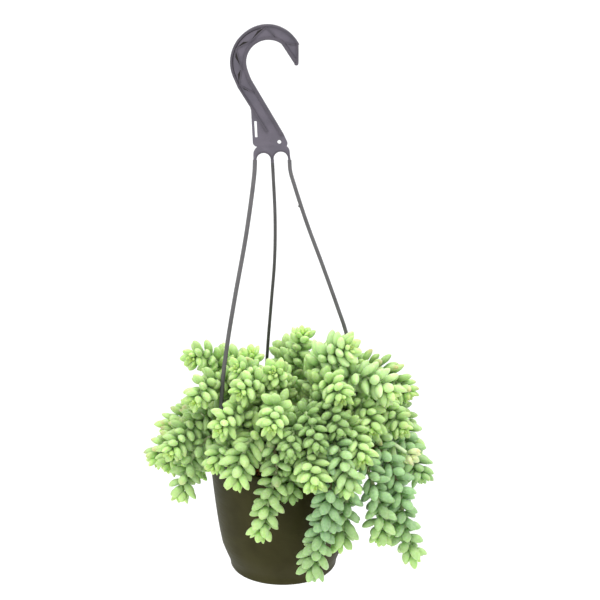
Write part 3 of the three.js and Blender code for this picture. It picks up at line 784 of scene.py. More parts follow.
@dataclass
class PottingMix:
    """Peat with bark chips and coir, filling the pot to just under its lip."""

    pot: Pot
    dome: float = 1.5
    sunk: float = 0.8
    gap: float = 0.3
    shoulder: float = 106.0
    rings: int = 26
    sides: int = 96
    crumbs: tuple[tuple[float, float, float], ...] = ((3.0, 0.16, 1.5), (9.0, 0.5, 0.7))
    chips: int = 420
    coir_spot: tuple[float, float] = (-22.6, -57.0)
    coir_heap: float = 12.5
    coir_spread: float = 60.0
    coir_dust: float = 200.0

    def near_coir(self, x: float, y: float, spread: float) -> float:
        """How near a place is to the spot of coir: 1 on it, and nearly 0 well away from it."""
        return math.exp(-((x - self.coir_spot[0]) ** 2 + (y - self.coir_spot[1]) ** 2) / spread)

    def height_at(self, x: float, y: float) -> float:
        """Height of the crumbly surface.

        Args:
            x: The place, in the pot's frame.
            y: The same.

        Returns:
            The height there.
        """
        far = clamp(math.hypot(x, y) / (self.pot.wall_top_radius - self.pot.wall))
        crumb = sum(noise.noise(Vector((x, y, layer)) * pitch) * size for layer, pitch, size in self.crumbs)
        heap = self.coir_heap * self.near_coir(x, y, self.coir_spread)
        return MIX_TOP + self.dome * (1 - far**2) + crumb - self.sunk + heap

    def build(self, peat: bpy.types.Material) -> bpy.types.Object:
        """Makes the mix as one solid, with its chips.

        Args:
            peat: Its material.

        Returns:
            The mix's object.
        """
        shell = Shell("potting_mix_filling")
        pot, sides = self.pot, self.sides
        edge = pot.wall_top_radius - pot.wall - self.gap - 0.4
        walls = [
            (pot.foot_radius - 2 * pot.wall - self.gap, pot.floor + self.gap),
            (pot.foot_radius - pot.wall - self.gap, pot.foot_height),
            *[(pot.wall_radius(z) - pot.wall - self.gap, z) for z in (*pot.wall_levels, self.shoulder)],
        ]
        points: Points = []
        for radius, z in walls:
            points += [(*polar(i * 360 / sides, radius), z) for i in range(sides)]
        for ring in range(self.rings):
            for i in range(sides):
                x, y = polar(i * 360 / sides, edge * (1 - ring / self.rings))
                points.append((x, y, self.height_at(x, y)))
        shell.add(np.array(points), tube_faces(len(walls) + self.rings, sides), tone=0.12)
        draw = np.random.default_rng(11)
        for _ in range(self.chips):
            x, y = polar(draw.uniform(0, 360), edge * math.sqrt(draw.uniform(0, 0.97)))
            tone = clamp(draw.uniform(0, 0.8) + self.near_coir(x, y, self.coir_dust) * 0.6)
            self.add_chip(shell, draw, x, y, tone)
        return shell.build([peat])

    def add_chip(self, shell: Shell, draw: np.random.Generator, x: float, y: float, tone: float) -> None:
        """Adds one bark chip or coir crumb, half sunk in the surface.

        Args:
            shell: The mix's faces.
            draw: The mix's random numbers.
            x: Where it lies.
            y: The same.
            tone: Its colour, from peat at 0 to coir at 1.
        """
        size = np.array([draw.uniform(1.4, 4.2), draw.uniform(1.0, 2.2), draw.uniform(0.6, 1.4)])
        spin = Matrix.Rotation(draw.uniform(0, 6.3), 3, "Z")
        lean = Matrix.Rotation(draw.uniform(-0.5, 0.5), 3, "X")
        form = []
        for level, grow in ((-1, 0.55), (-0.2, 1.0), (0.5, 0.92), (1, 0.45)):
            for i in range(6):
                cx, cy = polar(i * 60 + draw.uniform(-9, 9), grow * draw.uniform(0.8, 1.1))
                form.append((cx, cy, level))
        points = (np.array(form) * size) @ np.array(spin @ lean).T + (x, y, self.height_at(x, y) + 0.4)
        shell.add(points, tube_faces(4, 6), tone=tone)


# ---------------------------------------------------------------- hanger


@dataclass(frozen=True)
class Strand:
    """One strand: the angle at which it grips the lip, its width, its painted shade and its course."""

    angle: float
    width: float
    # How dark its painted shade is at the hook and at the clip.
    painted_shade_along: tuple[float, float]
    line: tuple[tuple[float, float, float], ...]


STRANDS = (
    Strand(
        224,
        3.8,
        (0.08, 0.2),
        ((-25.3, 0, 415), (-25.7, -2, 405), (-28, -6.5, 385), (-34.5, -14.5, 342),
         (-45, -25, 286), (-52.6, -32.5, 241), (-57.5, -40, 200), (-58.2, -46, 160)),
    ),
    Strand(
        104,
        3.0,
        (0.3, 0.7),
        ((-9, 0, 415), (-8.4, 6, 399), (-7, 17, 355), (-8, 29.5, 309),
         (-11.7, 40.5, 263), (-15.8, 51.5, 213), (-18.6, 63, 162)),
    ),
    Strand(
        344,
        3.4,
        (0.12, 0.3),
        ((7.1, 0, 415), (7.8, -1.3, 405), (11.8, -2.7, 391), (23.2, -5.4, 356),
         (37.8, -8, 316.5), (54, -11, 271), (61, -12.5, 250), (71.5, -17, 200), (74.6, -19.5, 160)),
    ),
)


@dataclass
class Hanger:
    """The one-piece moulded hanger: a ribbed flat hook, three strands and three clips.

    The points of the hook's outline, its zig-zag and its slot are x and z on its plate.
    """

    pot: Pot
    outer_arc: Circle = (-13.4, 505.8, 34.0)
    inner_arc: Circle = (-11.8, 505.8, 20.7)
    shadow_line_arc: Circle = (-13.4, 505.8, 31.7)
    tip_ring: Circle = (13.6, 505.2, 2.05)
    eye: Circle = (-2.4, 432.1, 1.8)
    dimples: tuple[Circle, ...] = ((-10.9, 434.6, 1.1), (-10.9, 428.2, 1.1))
    arches: tuple[Circle, ...] = ((-1.0, 416.3, 6.7), (-17.1, 415.0, 6.7))
    crown: float = 0.9
    crown_steps: int = 24
    web: float = 2.4
    rib_width: float = 2.0
    inner_rib_width: float = 3.0
    rib_thickness: float = 5.0
    # Painted shade on the ribs, arches and gussets, which are painted darker than the web.
    rib_painted_shade: float = 0.3
    arch_width: float = 1.4
    arch_thickness: float = 3.4
    gusset_width: float = 1.2
    gusset_thickness: float = 4.2
    shadow_line_width: float = 0.7
    strand_thickness: float = 2.6
    stub_foot: float = 412.5
    clip_width: float = 8.0
    clip_thickness: float = 2.1
    nub_place: float = 46.0
    gap: float = 0.3
    crease: float = 35.0
    # Widths of the painted shadow wedges beside the gussets.
    corner_shadow: tuple[float, ...] = (1.6, 1.6, 4.2, 4.4, 4.6, 4.4, 2.4)
    zigzag: tuple[tuple[float, float], ...] = (
        (13.8, 521.6), (0.0, 524.6), (-14.2, 538.0), (-28.7, 524.9), (-41.8, 518.4), (-36.8, 500.9),
        (-39.2, 485.2), (-25.1, 478.0))
    tip: tuple[tuple[float, float], ...] = (
        (15.6, 522.2), (15.75, 514.0), (15.7, 505.8), (15.45, 504.6), (14.9, 503.8), (14.2, 503.3),
        (13.4, 503.2), (12.7, 503.5), (12.1, 504.2))
    shank: tuple[tuple[float, float], ...] = (
        (-30.4, 496.0), (-29.2, 492.7), (-27.7, 489.4), (1.9, 439.0), (5.2, 431.8))
    near_stub: tuple[tuple[float, float], ...] = (
        (5.3, 430.2), (4.6, 428.0), (6.2, 426.4), (7.1, 424.4), (7.4, 422.4), (7.5, 420.1))
    far_stub: tuple[tuple[float, float], ...] = (
        (-26.8, 420.1), (-26.6, 422.4), (-25.9, 424.0), (-24.9, 425.6), (-23.1, 427.7), (-24.8, 427.9),
        (-26.1, 429.1), (-27.0, 430.4), (-27.2, 431.5), (-28.5, 461.5), (-29.5, 465.2), (-40.6, 483.0))
    slot: tuple[tuple[float, float], ...] = ((-25.7, 451.6), (-23.4, 451.6), (-22.7, 436.4), (-25.0, 436.4))

    @staticmethod
    def arc(circle: Circle, start: float = 0, end: float = 345, steps: int = 23) -> Points:
        """Points along a circle of the plate, all round it unless its ends are given.

        Args:
            circle: Its centre's x and z, and its radius.
            start: The angle of the first point, in degrees.
            end: The angle of the last point.
            steps: How many steps lie between them.

        Returns:
            The points.
        """
        x, z, radius = circle
        turns = [start + (end - start) * i / steps for i in range(steps + 1)]
        return [(x + dx, z + dz) for dx, dz in (polar(turn, radius) for turn in turns)]

    @staticmethod
    def ribbon(line: Points, width: float) -> Points:
        """Outline of a rib that lies on a line's right-hand side.

        Args:
            line: The line's points.
            width: The rib's width.

        Returns:
            The outline's points.
        """
        inner = []
        for i, (x, z) in enumerate(line):
            (ax, az), (bx, bz) = line[max(i - 1, 0)], line[min(i + 1, len(line) - 1)]
            length = math.hypot(bx - ax, bz - az)
            inner.append((x + (bz - az) / length * width, z - (bx - ax) / length * width))
        return [*line, *reversed(inner)]

    def add_hook(self, shell: Shell) -> None:
        """Adds the hook's web, with its slot and eye, and what is raised on it.

        Args:
            shell: The hanger's faces.
        """
        steps, foot = self.crown_steps, self.stub_foot
        outer = [
            (x, z + self.crown * math.sin(math.pi * min(i, steps) / steps))
            for i, (x, z) in enumerate(self.arc(self.outer_arc, 29, 205, 44))
        ]
        inner = self.arc(self.inner_arc, 56, 198, 34)
        small_arches = [self.arc(arch, 0, 180, 18) for arch in self.arches]
        outline = [
            *self.far_stub[4:], *reversed(outer), *self.tip, *inner, *self.shank, *self.near_stub,
            (8.6, foot), (5.7, foot), *small_arches[0], (-7.7, foot), (-10.4, foot), *small_arches[1],
            (-23.8, foot), (-26.8, foot), *self.far_stub[:4]]
        shell.add(*bevelled_plate(outline, self.web, 0.35, [list(self.slot), self.arc(self.eye)]))
        elbow, knee = self.far_stub[-1], self.far_stub[-2]
        outer_line = [(15.6, 507.0), self.tip[0], *outer, elbow, knee, (-14.3, 440.9)]
        inner_line = [(12.4, 505.0), *inner, *self.shank[:-1]]
        ribs = [
            self.ribbon(outer_line[::-1], self.rib_width),
            self.ribbon(inner_line, self.inner_rib_width),
            self.arc(self.tip_ring),
        ]
        for rib in ribs:
            shell.add(*bevelled_plate(rib, self.rib_thickness, 0.45), stain=self.rib_painted_shade)
        for arch in small_arches:
            rib = self.ribbon(arch, self.arch_width)
            shell.add(*bevelled_plate(rib, self.arch_thickness, 0.35), stain=self.rib_painted_shade)
        self.add_gussets(shell)
        # Painted shadow: a dark strip on the web along the inside of the outer rib.
        shadow_line = [*self.arc(self.shadow_line_arc, 100, 203, 24), (-38.7, 482.2), (-27.8, 464.6), (-13.4, 441.8)]
        line = self.ribbon(shadow_line[::-1], self.shadow_line_width)
        shell.add(*bevelled_plate(line, self.web + 0.4, 0.1), stain=0.8)
        for dimple in self.dimples:
            shell.add(*bevelled_plate(self.arc(dimple), self.web + 0.5, 0.2))

    def add_gussets(self, shell: Shell) -> None:
        """Adds the zig-zag of gussets round the crook, with a painted shadow in the corner beside each.

        Args:
            shell: The hanger's faces.
        """
        for (ax, az), (bx, bz), corner_shadow in zip(self.zigzag, self.zigzag[1:], self.corner_shadow):
            length = math.hypot(bx - ax, bz - az)
            dx, dz = (bz - az) / length * self.gusset_width / 2, -(bx - ax) / length * self.gusset_width / 2
            bar = [(ax + dx, az + dz), (bx + dx, bz + dz), (bx - dx, bz - dz), (ax - dx, az - dz)]
            shell.add(*bevelled_plate(bar, self.gusset_thickness, 0.25), stain=self.rib_painted_shade)
            # Painted shadow: a dark wedge on the web beside the gusset, on its side away from the light.
            wide = -corner_shadow if dx > 0 else corner_shadow
            mx, mz = mix(ax, bx, 0.4), mix(az, bz, 0.4)
            wedge = [(ax, az), (bx, bz), (mx + dx * wide, mz + dz * wide)]
            shell.add(*bevelled_plate(wedge[::-1] if wide < 0 else wedge, self.web + 0.5, 0.1), stain=1.0)

    def strand_line(self, strand: Strand) -> Line:
        """The line of a strand, from its stub on the hook to the top of its clip."""
        x, y = polar(strand.angle, self.pot.rim_radius - 1.4)
        return Line([*strand.line, (x, y, self.pot.height + self.clip_thickness / 2)], 3.0)

    def add_strand(self, shell: Shell, strand: Strand) -> None:
        """Adds a strand: a softly squared bar, with the moulding's parting line along each side.

        Args:
            shell: The hanger's faces.
            strand: The strand.
        """
        line = self.strand_line(strand)
        section = []
        for i in range(16):
            c, s = math.cos(i * math.pi / 8), math.sin(i * math.pi / 8)
            x = math.copysign(abs(c) ** 0.72, c) * strand.width / 2
            y = math.copysign(abs(s) ** 0.72, s) * self.strand_thickness / 2
            section.append((x * (1.07 if i % 8 == 0 else 1), y))
        # Painted shade: each strand darkens along its length towards the pot, most on the strand at the back.
        painted_shade_along = np.repeat(np.linspace(*strand.painted_shade_along, len(line.places)), 16)
        shell.add(line.swept(np.array(section)), tube_faces(len(line.places), 16), 1, stain=painted_shade_along)

    def add_clip(self, shell: Shell, strand: Strand) -> None:
        """Adds the clip that wraps the lip at the foot of a strand.

        Args:
            shell: The hanger's faces.
            strand: The strand.
        """
        pot, thick = self.pot, self.clip_thickness
        seat, lip = pot.height + self.gap, pot.height - pot.lip_depth
        rim, wall = pot.rim_radius + self.gap, pot.wall_top_radius
        top, under = seat + thick, lip - self.gap
        outside, inner = rim + thick, wall - pot.wall - 2 * self.gap
        hook = under - thick
        outline = [
            (inner - thick, lip), (inner, lip), (inner, seat), (rim, seat), (rim, under), (wall + 0.6, under),
            (wall + 1.4, hook), (outside - 0.6, hook), (outside, under - 1), (outside, top - 0.8),
            (outside - 0.8, top), (inner - thick, top)]
        points, faces = bevelled_plate(outline, self.clip_width, 0.3)
        turn = np.array(Matrix.Rotation(math.radians(strand.angle), 3, "Z"))
        shell.add(points @ turn.T, faces, 1)

    def add_nub(self, shell: Shell) -> None:
        """Adds the small nub that the mould left on the last strand.

        Args:
            shell: The hanger's faces.
        """
        x, y, z = self.strand_line(STRANDS[-1]).at(self.nub_place)[0]
        nub = [
            (x - 1.4 + dx * 0.9, y + dy * 0.9, z + level * 1.1)
            for level, grow in ((-1, 0.5), (-0.4, 1.0), (0.4, 1.0), (1, 0.5))
            for dx, dy in (polar(i * 45, grow * 1.6) for i in range(8))
        ]
        # Painted shade: the nub is darkened by half.
        shell.add(np.array(nub), tube_faces(4, 8), 1, stain=0.5)

    def build(self, plastics: list[bpy.types.Material]) -> bpy.types.Object:
        """Makes the whole hanger.

        Args:
            plastics: The hook's plastic, and the strands' and clips'.

        Returns:
            The hanger's object.
        """
        shell = Shell("moulded_hanger")
        self.add_hook(shell)
        for strand in STRANDS:
            self.add_strand(shell, strand)
            self.add_clip(shell, strand)
        self.add_nub(shell)
        hanger = shell.build(plastics)
        add_sharpness(hanger, self.crease)
        return hanger


# ---------------------------------------------------------------- tails


@dataclass(frozen=True)
class Look:
    """How a tail's leaves are coloured and sized.

    Bloom is the share of blue-green wax on its old leaves, and blush the share of rosy leaf tips.
    The tip's age is that of its youngest leaves, 0 in a tail that is in full growth. It is also painted
    shade: a higher one ages and darkens the leaves of tails that sit in shade.
    """

    bloom: float
    leaf_length: float
    leaf_width: float
    blush: float
    tip_age_and_painted_shade: float


class Tone(Enum):
    """The looks that tails have."""

    LIME = Look(0.08, 16.8, 9.6, 0.15, 0.0)
    FRESH = Look(0.32, 15.8, 9.3, 0.3, 0.0)
    BLUSHED = Look(0.18, 16.2, 9.2, 0.65, 0.0)
    LUSH = Look(0.08, 19.5, 10.4, 0.1, 0.0)
    # Painted light: like LUSH, with a lighter copy of the leaf material, for tails that catch the light.
    SUNLIT = Look(0.05, 19.5, 10.4, 0.1, 0.0)
    # Painted shade: a darker copy of the leaf material and a late tip age, for tails in shade in the middle.
    SHADED = Look(0.3, 14.4, 8.8, 0.1, 0.65)
    GLAUCOUS = Look(0.85, 16.8, 9.6, 0.1, 0.1)
    # DEEP tails sit behind the others: their late tip age darkens them as painted shade.
    DEEP = Look(1.0, 16.8, 9.8, 0.35, 0.55)
    STEELY = Look(0.95, 16.8, 9.6, 0.05, 0.5)


class Habit(Enum):
    """How a tail carries its leaves: the length of stem that each of its grown leaves takes."""

    DENSE = 1.85
    LOOSE = 2.4
    BARE_NECK = 2.1


@dataclass(frozen=True)
class TailPlan:
    """Where one tail grows: its socket in the mix, its tone and the points that it passes."""

    name: str
    angle: float
    distance: float
    tone: Tone
    passes: tuple[tuple[float, float, float], ...]
    habit: Habit = Habit.DENSE


TAILS = (
    TailPlan("left_1", 180, 36, Tone.LIME,
             ((-52, 10, 190), (-66, 10, 212), (-79, -1, 222), (-88, -14, 222))),
    TailPlan("left_2", 208, 38, Tone.LIME,
             ((-52, -24, 200), (-66, -32, 206), (-76, -45, 202), (-83, -58, 194))),
    TailPlan("left_3", 200, 56, Tone.FRESH,
             ((-66, -26, 170), (-86, -39, 164), (-99, -53, 154), (-106, -66, 144))),
    TailPlan("left_4", 178, 57, Tone.BLUSHED,
             ((-79, 6, 158), (-101, -2, 143), (-116, -10, 130), (-127, -18, 116))),
    TailPlan("left_5", 162, 48, Tone.BLUSHED,
             ((-77, 34, 158), (-92, 30, 152), (-107, 24, 144), (-120, 17, 135))),
    TailPlan("left_6", 215, 58, Tone.FRESH,
             ((-66, -42, 154), (-84, -50, 140), (-93, -55, 118), (-98, -60, 96)), Habit.LOOSE),
    TailPlan("left_7", 212, 20, Tone.FRESH, ((-26, -22, 198), (-32, -32, 216), (-44, -44, 224))),
    TailPlan("left_8", 236, 36, Tone.LIME, ((-20, -48, 208), (-32, -62, 213), (-39, -76, 209))),
    TailPlan("left_9", 238, 50, Tone.LIME, ((-38, -64, 188), (-50, -76, 186), (-58, -90, 178))),
    TailPlan("left_10", 226, 60, Tone.FRESH,
             ((-46, -64, 158), (-57, -76, 151), (-65, -88, 139)), Habit.LOOSE),
    TailPlan("left_11", 168, 60, Tone.FRESH, ((-84, 22, 142), (-98, 40, 118), (-104, 44, 90))),
    TailPlan("left_12", 189, 60, Tone.FRESH, ((-80, -14, 148), (-100, -26, 136), (-114, -36, 118))),
    TailPlan("top_1", 250, 20, Tone.LIME, ((0, -22, 192), (-4, -34, 212), (-8, -52, 222))),
    TailPlan("top_2", 195, 12, Tone.BLUSHED, ((-33, -6, 193), (-33, -8, 210), (-29, -12, 229))),
    TailPlan("top_3", 60, 12, Tone.FRESH, ((10, 22, 190), (15, 22, 215), (20, 19, 240))),
    TailPlan("top_4", 340, 24, Tone.SUNLIT, ((36, -16, 218), (51, -25, 234), (65, -37, 242))),
    TailPlan("front_1", 264, 42, Tone.LIME, ((-4, -74, 198), (-7, -88, 193), (-9, -102, 184))),
    TailPlan("front_2", 293, 60, Tone.STEELY,
             ((34, -76, 164), (44, -98, 141), (44, -102, 112), (36, -98, 74), (27, -95, 35))),
    TailPlan("front_3", 307, 60, Tone.GLAUCOUS,
             ((51, -66, 153), (60, -80, 125), (60, -80, 88), (54, -78, 55)), Habit.LOOSE),
    TailPlan("front_4", 268, 59, Tone.FRESH,
             ((-9, -80, 169), (-5, -94, 145), (-13, -98, 110), (-21, -97, 74)), Habit.LOOSE),
    TailPlan("front_5", 249, 59, Tone.LUSH,
             ((-24, -78, 170), (-37, -91, 153), (-43, -99, 127)), Habit.LOOSE),
    TailPlan("front_6", 286, 52, Tone.LIME, ((22, -84, 161), (27, -104, 148), (31, -118, 134))),
    TailPlan("front_7", 316, 50, Tone.LIME, ((60, -64, 174), (70, -79, 161), (75, -92, 148))),
    TailPlan("front_8", 274, 40, Tone.SHADED, ((12, -82, 180), (9, -96, 171), (7, -108, 159))),
    TailPlan("front_9", 298, 36, Tone.SHADED, ((22, -74, 190), (29, -92, 179), (33, -106, 165))),
    TailPlan("front_10", 302, 48, Tone.GLAUCOUS, ((49, -84, 163), (58, -98, 147), (62, -104, 122))),
    TailPlan("front_11", 278, 62, Tone.SHADED, ((7, -78, 156), (8, -88, 134), (9, -90, 110))),
    TailPlan("front_12", 308, 30, Tone.SHADED, ((38, -56, 198), (49, -78, 188), (53, -92, 174))),
    TailPlan("right_1", 322, 34, Tone.LIME, ((36, -38, 206), (50, -60, 211), (56, -76, 203))),
    TailPlan("right_2", 4, 40, Tone.SUNLIT,
             ((52, -16, 194), (70, -34, 213), (92, -40, 207), (105, -46, 196))),
    TailPlan("right_3", 24, 42, Tone.BLUSHED,
             ((73, 44, 195), (94, 42, 195), (113, 32, 184), (127, 22, 170))),
    TailPlan("right_4", 14, 58, Tone.FRESH,
             ((103, 30, 166), (118, 26, 150), (127, 18, 130), (130, 14, 112))),
    TailPlan("right_5", 2, 59, Tone.DEEP, ((101, -2, 158), (120, -4, 132), (131, -10, 111), (138, -18, 98))),
    TailPlan("right_6", 332, 54, Tone.BLUSHED,
             ((86, -34, 154), (103, -38, 147), (116, -44, 140), (126, -50, 134)), Habit.BARE_NECK),
    TailPlan("right_7", 326, 61, Tone.GLAUCOUS,
             ((88, -46, 144), (105, -54, 124), (114, -56, 93), (119, -56, 62), (128, -54, 29)), Habit.LOOSE),
    TailPlan("right_8", 317, 61, Tone.GLAUCOUS,
             ((72, -60, 143), (85, -72, 120), (93, -74, 92), (95, -72, 58)), Habit.LOOSE),
    TailPlan("right_9", 350, 60, Tone.GLAUCOUS,
             ((82, -12, 146), (103, -26, 112), (109, -32, 76), (107, -36, 47))),
    TailPlan("right_10", 336, 38, Tone.LIME, ((68, -32, 184), (82, -46, 178), (86, -62, 165))),
    TailPlan("right_11", 348, 44, Tone.FRESH, ((91, -12, 179), (107, -24, 168), (117, -38, 156))),
    TailPlan("back_1", 38, 58, Tone.GLAUCOUS, ((66, 56, 165), (92, 72, 150), (104, 80, 105), (106, 80, 55))),
    TailPlan("back_2", 58, 38, Tone.FRESH, ((44, 66, 196), (60, 92, 186), (68, 104, 160))),
    TailPlan("back_3", 74, 60, Tone.GLAUCOUS, ((26, 76, 166), (32, 98, 148), (34, 104, 105), (34, 102, 50))),
    TailPlan("back_4", 92, 36, Tone.LIME, ((2, 62, 200), (4, 92, 194), (6, 112, 172))),
    TailPlan("back_5", 112, 60, Tone.GLAUCOUS,
             ((-34, 78, 164), (-44, 98, 142), (-48, 102, 95), (-46, 100, 50))),
    TailPlan("back_6", 128, 36, Tone.FRESH, ((-46, 60, 192), (-66, 80, 184), (-76, 92, 158))),
    TailPlan("back_7", 146, 60, Tone.GLAUCOUS,
             ((-68, 58, 158), (-88, 74, 138), (-94, 78, 95), (-92, 76, 60))),
    TailPlan("back_8", 26, 60, Tone.DEEP, ((84, 36, 150), (112, 44, 120), (118, 46, 70))),
    TailPlan("back_9", 100, 18, Tone.LIME, ((8, 34, 192), (14, 48, 208), (20, 62, 212))),
    TailPlan("back_10", 150, 22, Tone.FRESH, ((-34, 26, 194), (-50, 36, 206), (-66, 44, 205))),
    TailPlan("back_11", 40, 26, Tone.LIME, ((40, 34, 202), (56, 44, 213), (72, 52, 208))),
)


@dataclass
class LeafForm:
    """The plump form of a leaf: narrow at its root, fullest past its middle, ending in a soft point."""

    sides: int = 10
    levels: tuple[float, ...] = (0.0, 0.08, 0.2, 0.34, 0.48, 0.61, 0.73, 0.83, 0.91, 0.97)
    root_share: float = 0.42
    fullest: float = 0.56
    flat_top: float = 0.8
    round_back: float = 1.12

    def girth(self, level: float) -> float:
        """Half width of the leaf, 1 at its fullest place.

        Args:
            level: The share of its length.

        Returns:
            The half width there.
        """
        if level < self.fullest:
            return mix(self.root_share, 1.0, math.sin(level / self.fullest * math.pi / 2) ** 1.1)
        past = (level - self.fullest) / (1 - self.fullest)
        return (1 - past**1.95) ** 0.65

    def template(self) -> tuple[Array, list[tuple[int, ...]], Array]:
        """The leaf at unit size.

        Returns:
            Points [sideways, up, along], faces, and each point's share of the length.
        """
        points, reach = [], []
        for level in self.levels:
            grow = self.girth(level)
            for i in range(self.sides):
                turn = i * 2 * math.pi / self.sides
                c, s = math.cos(turn), math.sin(turn)
                points.append((c * grow, s * grow * (self.flat_top if s > 0 else self.round_back), level))
                reach.append(level)
        points.append((0.0, 0.0, 1.0))
        reach.append(1.0)
        faces = tube_faces(len(self.levels), self.sides)[:-1]
        last = (len(self.levels) - 1) * self.sides
        faces += [(last + i, last + (i + 1) % self.sides, len(points) - 1) for i in range(self.sides)]
        return np.array(points), faces, np.array(reach)


@dataclass
class Leaf:
    """One leaf's place and size on its stem."""

    root: Array
    spine: Array
    sideways: Array
    upper: Array
    length: float
    width: float
    depth: float
    bend: float
    age: float


# A ball's centre, its radius, its tail's number (-1 for the hanger) and its place along its leaf,
# from 0 to 1, which is 0 for a stem's and a strand's.
Ball = tuple[float, float, float, float, int, float]


class Crowd:
    """Balls that stand for what fills the space already, kept in a grid of cells."""

    CELL = 11.0

    def __init__(self) -> None:
        """Starts with empty space."""
        self.cells: dict[tuple[int, int, int], list[Ball]] = {}

    def key(self, x: float, y: float, z: float) -> tuple[int, int, int]:
        """The cell that holds a place."""
        return int(x // self.CELL), int(y // self.CELL), int(z // self.CELL)

    def add(self, ball: Ball) -> None:
        """Stores a ball."""
        self.cells.setdefault(self.key(*ball[:3]), []).append(ball)

    def meets(self, ball: Ball, squeeze: float, own_squeeze: float) -> bool:
        """Tells whether a ball presses into a stored one.

        Args:
            ball: The new ball.
            squeeze: Share of the two radii that another tail's ball must leave.
            own_squeeze: The same for balls of the same tail's leaf ends.

        Returns:
            True if it does.
        """
        x, y, z, radius, owner, share = ball
        kx, ky, kz = self.key(x, y, z)
        for cell in product((kx - 1, kx, kx + 1), (ky - 1, ky, ky + 1), (kz - 1, kz, kz + 1)):
            for ox, oy, oz, other_radius, other, other_share in self.cells.get(cell, ()):
                if other == owner and (share < 0.5 or other_share < 0.5):
                    continue
                reach = (radius + other_radius) * (own_squeeze if other == owner else squeeze)
                if (x - ox) ** 2 + (y - oy) ** 2 + (z - oz) ** 2 < reach * reach:
                    return True
        return False


